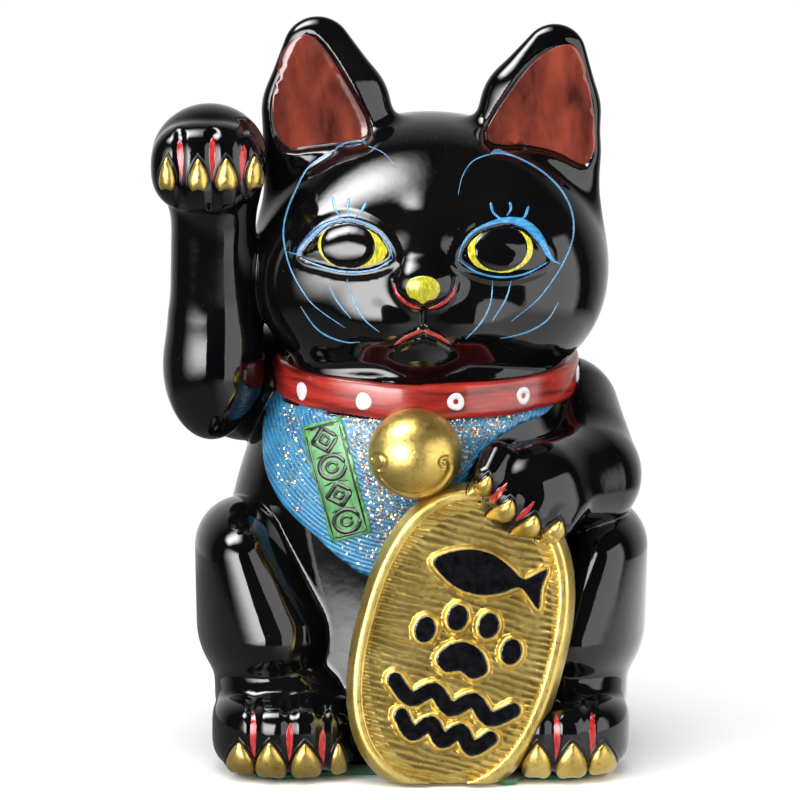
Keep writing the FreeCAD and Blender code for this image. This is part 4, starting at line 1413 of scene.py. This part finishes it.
AXES = coin_axes()
FISH = [(-21.5, 24.5), (-16.0, 29.5), (-8.0, 32.8), (1.0, 33.0), (9.0, 29.8), (14.5, 26.6),
        (18.0, 28.6), (23.5, 33.0), (23.0, 24.5), (24.0, 16.0), (18.0, 20.6), (14.0, 22.6), (8.0, 18.6),
        (0.0, 15.8), (-9.0, 16.2), (-17.0, 20.0)]
TOES = [(-17.5, -2.5), (-6.3, 5.2), (6.3, 5.2), (17.5, -2.5)]
PALM = [(-10.5, -12.5), (-7.0, -6.0), (0.0, -3.2), (7.0, -6.0), (10.5, -12.5), (5.5, -16.8),
        (0.0, -15.0), (-5.5, -16.8)]
WAVES = {-27.5: 24.0, -40.5: 18.0}      # the height of each wave, and its half length


def marks(u, w):
    """Signed distance to the coin's ornaments: a fish, a paw print and two waves."""
    d = outline_distance(u, w, smooth_line(FISH, 3, closed=True)) - 0.3
    for x, z in TOES:
        d = np.minimum(d, (np.hypot((u - x) / 4.6, (w - z) / 5.7) - 1) * 4.9)
    d = np.minimum(d, outline_distance(u, w, smooth_line(PALM, 3, closed=True)) - 0.4)
    for z, half in WAVES.items():
        line = smooth_line([(half * k / 3, z + (2.8 if k % 2 else -2.8)) for k in range(-3, 4)], 4)
        d = np.minimum(d, line_distance(u, w, line) - 3.5)
    return d


MARK_TOP = 1.9          # how far the ornaments stand out of the field
RIDGE_PITCH = 2.75      # between the chisel marks


def chisel_marks(u, w, edge):
    """Wavering ridges across the coin's field, deeper close to the rim."""
    drift = w + 0.9 * lattice_noise(u / 12.0 + 3, w / 7.0, 5)
    drift = drift + 0.35 * lattice_noise(u / 5.0, w / 5.0 + 9, 6)
    near_rim = np.clip(1 - (edge - 4.5) / 6.0, 0, 1)
    fade = 0.55 + 0.45 * lattice_noise(u / 6.5 + 20, w / 3.0, 8)
    strength = np.clip(0.30 * fade + 0.42 * near_rim, 0.05, 0.7)
    return strength * np.sin(drift * 2 * math.pi / RIDGE_PITCH) * np.clip((edge - 4.0) / 1.5, 0, 1)


def coin_rise(u, w, edge):
    """How far the coin's face stands out of its field's bottom; edge is the distance in from its rim."""
    rim = 2.3 * np.clip(1.15 - ((edge - 2.2) / 2.4) ** 2, 0, 1) ** 0.5
    d = marks(u, w)
    raised = np.clip((1.7 - d) / 1.7, 0, 1)
    raised = raised * raised * (3 - 2 * raised) * MARK_TOP
    return rim + chisel_marks(u, w, edge) * np.clip(d - 1.0, 0, 1) + raised


def coin_field(p):
    """The coin: a thick plate with drafted sides, its face sunk inside a rim."""
    q = (p - COIN) @ AXES.T
    u, t, w = q[:, 0], q[:, 1], q[:, 2]
    draft = np.clip((COIN_THICK / 2 - t) / COIN_THICK, 0, 1) * COIN_DRAFT
    a = np.abs(u - COIN_SHIFT[0]) / (COIN_HALF[0] - draft) + 1e-6
    b = np.abs(w - COIN_SHIFT[1]) / (COIN_HALF[1] - draft) + 1e-6
    k = (a ** COIN_POWER + b ** COIN_POWER) ** (1 / COIN_POWER)
    steep = np.sqrt((a ** (COIN_POWER - 1) / COIN_HALF[0]) ** 2
                    + (b ** (COIN_POWER - 1) / COIN_HALF[1]) ** 2)
    side = (k - 1) * k ** (COIN_POWER - 1) / steep
    plate = soft_max(side, np.abs(t) - COIN_THICK / 2, 2.4)
    near = (t < 0) & (side < 2)
    if near.any():
        face = t[near] + 2.5 + coin_rise(u[near], w[near], -side[near])
        plate[near] = soft_max(plate[near], -face * 0.8, 0.6)
    return soft_max(plate, FLOOR_Z + 0.1 - p[:, 2], 1.2)


def paint_recess_shade(coin, points):
    """Marks the low parts of the coin's face for painted shade: the gilt is painted darker there."""
    q = (points - COIN) @ AXES.T
    across, along = [(q[:, i] - shift) / (half - COIN_DRAFT)
                     for i, shift, half in zip((0, 2), COIN_SHIFT, COIN_HALF)]
    edge = 1 - np.sqrt(across ** 2 + along ** 2)
    level = coin_rise(q[:, 0], q[:, 2], edge * 40)
    hollow = np.where((q[:, 1] < -1) & (edge > 0.05), np.clip(0.6 - level, 0, 1), 0.0)
    # The hollow attribute carries the painted shade of the coin's recesses.
    mask = coin.data.attributes.new("hollow", "FLOAT", "POINT")
    if len(coin.data.vertices) == len(hollow):
        mask.data.foreach_set("value", hollow.astype(np.float32))


def tops_field(p):
    """The black enamel on the ornaments' tops, a little inside their gold shoulders."""
    q = (p - COIN) @ AXES.T
    slab = np.abs(q[:, 1] + 3.45) - 1.35
    return soft_max(marks(q[:, 0], q[:, 2]) + 0.45, slab, 0.7)


def build_coin(material, black):
    low, high = spot("oval_coin", 0, 0, 0) - 3, spot("oval_coin", 1, 1, 1) + 3
    coin, points = build_solid("coin_plate", coin_field, low, high, 0.62, 0.10, material,
                               "oval_coin")
    paint_recess_shade(coin, points)
    low, high = spot("coin_relief", 0, 0, 0) - 6, spot("coin_relief", 1, 1, 1) + 6
    build_solid("coin_ornament_tops", tops_field, low, high, 0.6, 0.10, black, "coin_relief")


PETAL = [(0.10, 0.02), (0.30, -0.02), (0.46, 0.10), (0.50, 0.30), (0.41, 0.55), (0.22, 0.82), (0.02, 1.0)]


def petal(x, z, width, height, lean=0.0):
    """A claw's outline: broad low down, with a small notch there, and pointed at the top."""
    right = [(x + a * width + lean * b, z + b * height) for a, b in PETAL]
    left = [(x - a * width + lean * b, z + b * height) for a, b in reversed(PETAL)]
    return smooth_line(right + left, 3, closed=True)


def cuticle(paint, outline):
    """A ridge of glaze round a claw's upper half."""
    n = len(outline)
    arch = [outline[i] for i in range(n // 6, n - n // 6)]
    paint.stroke(arch, 1.1, 0.35, (0.3, 0.3), 0.1, 0)


def claw_group(name, claws, field, origin, node, material, thick=2.6):
    gilt, ridge = Paint(), Paint()
    for x, z, width, height, lean in claws:
        outline = petal(x, z, width, height, lean)
        gilt.patch(outline, thick, 0.8, width * 0.5, under=1.0)
        cuticle(ridge, petal(x, z, width + 1.3, height + 1.2, lean))
    gilt.make(name + "_gilt_claws", field, material, "gold_paint", [node], origin)
    ridge.make(name + "_cuticles", field, GLAZE, "black_glaze", (), origin)


# Each claw on the left foot: its place across, its width and its height.
FOOT_CLAWS = [(-23.0, 6.5, 14.0), (-10.2, 12.0, 15.2), (3.6, 12.2, 15.6), (15.6, 11.6, 14.4)]
RAISED_CLAWS = (6.0, 7.6, 8.2, 6.6)         # widths
LOWERED_CLAWS = (8.4, 10.4, 10.8, 10.2)
ORIGINS = {"raised": RAISED, "lowered": LOWERED, "right_foot": FEET["right"], "left_foot": FEET["left"]}


def lowered_and_coin(p):
    """The lowered paw and the coin that its claws reach over."""
    return np.minimum(CASTING_SURFACE["lowered"](p), coin_field(p))


def build_claws(material):
    for name, side in (("right_foot", -1), ("left_foot", 1)):
        claws = [(side * x, 0.6, width, height, side * 0.6) for x, width, height in FOOT_CLAWS]
        claw_group(name, claws, CASTING_SURFACE[name], ORIGINS[name], name + "_claws", material)
    claws = [(x, -33.2, width, 13.2, 0.0) for x, width in zip(RAISED_TOES, RAISED_CLAWS)]
    claw_group("raised_paw", claws, CASTING_SURFACE["raised"], RAISED, "raised_paw_claws", material)
    claws = [(x - 2.6, z - 5.4, width, 10.2, 5.4)
             for (x, _, z), width in zip(LOWERED_TIPS, LOWERED_CLAWS)]
    claw_group("lowered_paw", claws, lowered_and_coin, LOWERED, "lowered_paw_claws", material, 2.8)


TOE_STRIPES = {
    "raised": [[(13.2, -13.4), (13.6, -20.0), (14.0, -30.0)], [(26.0, -12.6), (26.2, -20.0),
                                                               (26.0, -30.0)],
               [(38.4, -15.8), (38.0, -22.0), (37.4, -30.0)]],
    "right_foot": [[(-10.5, 26.6), (-10.8, 16.0), (-10.2, 5.4)], [(3.9, 23.4), (3.6, 15.0), (3.8, 6.2)],
                   [(16.7, 20.6), (16.4, 11.0), (16.6, 1.6)]],
    "left_foot": [[(-2.3, 26.8), (-2.0, 16.0), (-2.6, 5.6)], [(11.7, 26.4), (12.0, 16.0), (11.4, 6.4)]],
    "lowered": [[(-59.8, 17.9), (-56.0, 22.6), (-52.6, 26.6)], [(-49.2, 10.8), (-45.6, 15.2),
                                                                (-42.0, 19.4)],
                [(-39.6, 4.4), (-36.0, 7.4), (-32.6, 9.8)]],
}


STRIPE_WIDTHS = [1.8, 3.3, 3.4, 2.6, 1.4, 0.7]


def build_stripes(red):
    for name, lines in TOE_STRIPES.items():
        paint = Paint()
        for line in lines:
            paint.stroke(line, STRIPE_WIDTHS, 0.12, (0.1, 0.1))
        paint.make(name + "_toe_stripes", CASTING_SURFACE[name], red, "red_enamel", origin=ORIGINS[name])


# ---------------------------------------------------------------- under the base

def revolve(profile, count=72):
    """A closed surface from (radius, height) points turned round the hole's axis."""
    m = len(profile)
    turns = [2 * math.pi * i / count for i in range(count)]
    points = [(HOLE[0] + r * math.cos(t), HOLE[1] + r * math.sin(t), z) for t in turns for r, z in profile]
    lower = tuple(i * m for i in reversed(range(count)))
    upper = tuple(i * m + m - 1 for i in range(count))
    return points, net(count, m, loop=True) + [lower, upper]


def rounded_box(low, high, r):
    """A box with its edges rounded in plan, as points and faces."""
    points, corner = [], 5
    for z, inset in ((low[2], 0.25), (low[2] + 0.25, 0.0), (high[2], 0.0)):
        for cx, cy, start in ((high[0] - r, high[1] - r, 0), (low[0] + r, high[1] - r, 1),
                              (low[0] + r, low[1] + r, 2), (high[0] - r, low[1] + r, 3)):
            for k in range(corner):
                t = math.pi / 2 * (start + k / (corner - 1))
                points.append((cx + (r - inset) * math.cos(t), cy + (r - inset) * math.sin(t), z))
    return points, tube(3, 4 * corner, turned=True)


def build_stopper(material):
    """A flanged plug, with a groove in its flange, another round its side, and a bar to grip."""
    low, high = spot("base_stopper", 0, 0, 0), spot("base_stopper", 1, 1, 1)
    flange, plug, hub = (high[0] - low[0]) / 2, 13.9, 2.0
    bottom, top = low[2] + 1.4, high[2]
    groove = [(flange - 4.4, 0.0), (flange - 4.0, 0.5), (flange - 3.0, 0.5), (flange - 2.6, 0.0)]
    rim = [(flange - 0.6, 0.0), (flange - 0.1, 0.3), (flange, 0.8), (flange, 2.2), (flange - 0.5, 2.7)]
    side = [(plug, 2.7), (plug, 4.4), (plug - 0.4, 4.8), (plug, 5.2)]
    profile = [(hub, bottom)] + [(r, bottom + rise) for r, rise in groove + rim + side]
    profile += [(plug, 8.6), (plug - 0.5, 9.6), (plug - 1.6, top - 0.5), (plug - 2.6, top), (hub, top)]
    points, faces = revolve(profile)
    bar_low = (HOLE[0] - 10, HOLE[1] - 1.5, low[2])
    bar_high = (HOLE[0] + 10, HOLE[1] + 1.5, bottom + 0.3)
    bar, bar_faces = rounded_box(bar_low, bar_high, 1.2)
    faces += [tuple(i + len(points) for i in face) for face in bar_faces]
    make_object("rubber_stopper", points + bar, faces, material, None, "stopper",
                ["base_stopper"])


FELT_SIDE = [(60, -74), (71, -58), (72, -28), (67, 8), (53, 39), (27, 53)]
FELT_TAB = [(0, -66), (26, -70), (31, -84.0), (37, -83.6), (41, -74)]       # shows beside the coin
FELT_HOLE = 18.8


def felt_edge():
    """The cut edge, slightly frayed."""
    right = [(-x, y) for x, y in reversed([(30, -66), (44, -70)] + FELT_SIDE)]
    rng = np.random.default_rng(3)
    return [(x + rng.uniform(-0.25, 0.25), y + rng.uniform(-0.25, 0.25))
            for x, y in smooth_line(FELT_TAB + FELT_SIDE + [(0, 56)] + right, 5, closed=True)]


def on_felt(x, y, edge, inset, radius):
    """Whether a place is inside the felt's edge by an inset, and outside a radius round its hole."""
    inside = outline_distance(np.array([x]), np.array([y]), edge)[0] < -inset
    return inside and math.hypot(x - HOLE[0], y - HOLE[1]) > radius


def build_felt(material):
    """Cut felt, glued under the base, with an opening round the stopper."""
    edge, hole = felt_edge(), oval(HOLE[0], HOLE[1], FELT_HOLE, FELT_HOLE, 48)
    n, m = len(edge), len(hole)
    borders = [(n + k, n + (k + 1) % m) for k in range(m)] + [(k, (k + 1) % n) for k in range(n)]
    inner = [(x, y) for x in np.arange(-74, 74, 4.0) for y in np.arange(-82, 56, 4.0)
             if on_felt(x, y, edge, 2, 21)]
    flat = [Vector(p) for p in edge + hole + inner]
    made = geometry.delaunay_2d_cdt(flat, borders, [], 0, 1e-6)
    corners = np.array([tuple(p) for p in made[0]])
    cells = [tuple(cell) for cell in made[2]
             if on_felt(*corners[list(cell)].mean(0), edge, 0, FELT_HOLE - 0.1)]
    points = [(x, y, z) for z in (0.05, FLOOR_Z - 0.02) for x, y in corners]
    faces = [cell[::-1] for cell in cells] + [tuple(i + len(corners) for i in cell) for cell in cells]
    used = dict.fromkeys((a, b) for cell in cells for a, b in zip(cell, cell[1:] + cell[:1]))
    faces += [(a, b, b + len(corners), a + len(corners)) for a, b in used if (b, a) not in used]
    sheet_made = make_object("felt_sheet", points, faces, material, None, "cat",
                             ["felt_base_pad"])
    sheet_made.data.shade_flat()


# ---------------------------------------------------------------- everything together

def surface_of(name):
    """A casting's glazed surface as its neighbours leave it."""
    return lambda p: joined(p, NEAR[name])[0]


CASTING_SURFACE = {name: surface_of(name) for name in CASTINGS}

set_world()
set_stage()
GLAZE = black_glaze()
for piece, casting, node, step in (
    ("trunk", "torso", "torso_shell", 1.15),
    ("head", "head", "head_shell", 0.9),
    ("arm_raised", "raised", "raised_arm", 0.9),
    ("arm_lowered", "lowered", "lowered_arm", 0.85),
    ("foot_right", "right_foot", "right_foot", 0.85),
    ("foot_left", "left_foot", "left_foot", 0.85),
    ("tail_stub", "tail", "tail", 1.0),
):
    build_casting(piece, casting, [node], step, GLAZE)
LIP_RED = enamel("lip_red", (0.20, 0.016, 0.012), (0.55, 0.060, 0.040), (1, 1, 2), size=2.5)
LINE_RED = enamel("line_red", (0.22, 0.008, 0.010), (0.62, 0.035, 0.030), (2, 2, 0.6), size=1.6)
paint_eyes()
paint_lids()
paint_brows()
paint_muzzle(LIP_RED, LINE_RED)
line_ears()
dress_neck()
GOLD = gold("gilt", (0.48, 0.33, 0.075), (0.70, 0.52, 0.155))
# The coin's gilt is the gilt above painted about a fifth brighter: painted light for the light that the
# coin's face catches.
COIN_GOLD_PAINTED_BRIGHTER = gold("coin_gilt", (0.56, 0.40, 0.095), (0.82, 0.63, 0.20), depth=0.05)
build_bell(GOLD)
MARK_BLACK = enamel("ornament_black", (0.002, 0.002, 0.003), (0.008, 0.008, 0.009), rough=(0.05, 0.12))
build_coin(COIN_GOLD_PAINTED_BRIGHTER, MARK_BLACK)
build_claws(GOLD)
build_stripes(LINE_RED)
build_stopper(rubber())
build_felt(felt())
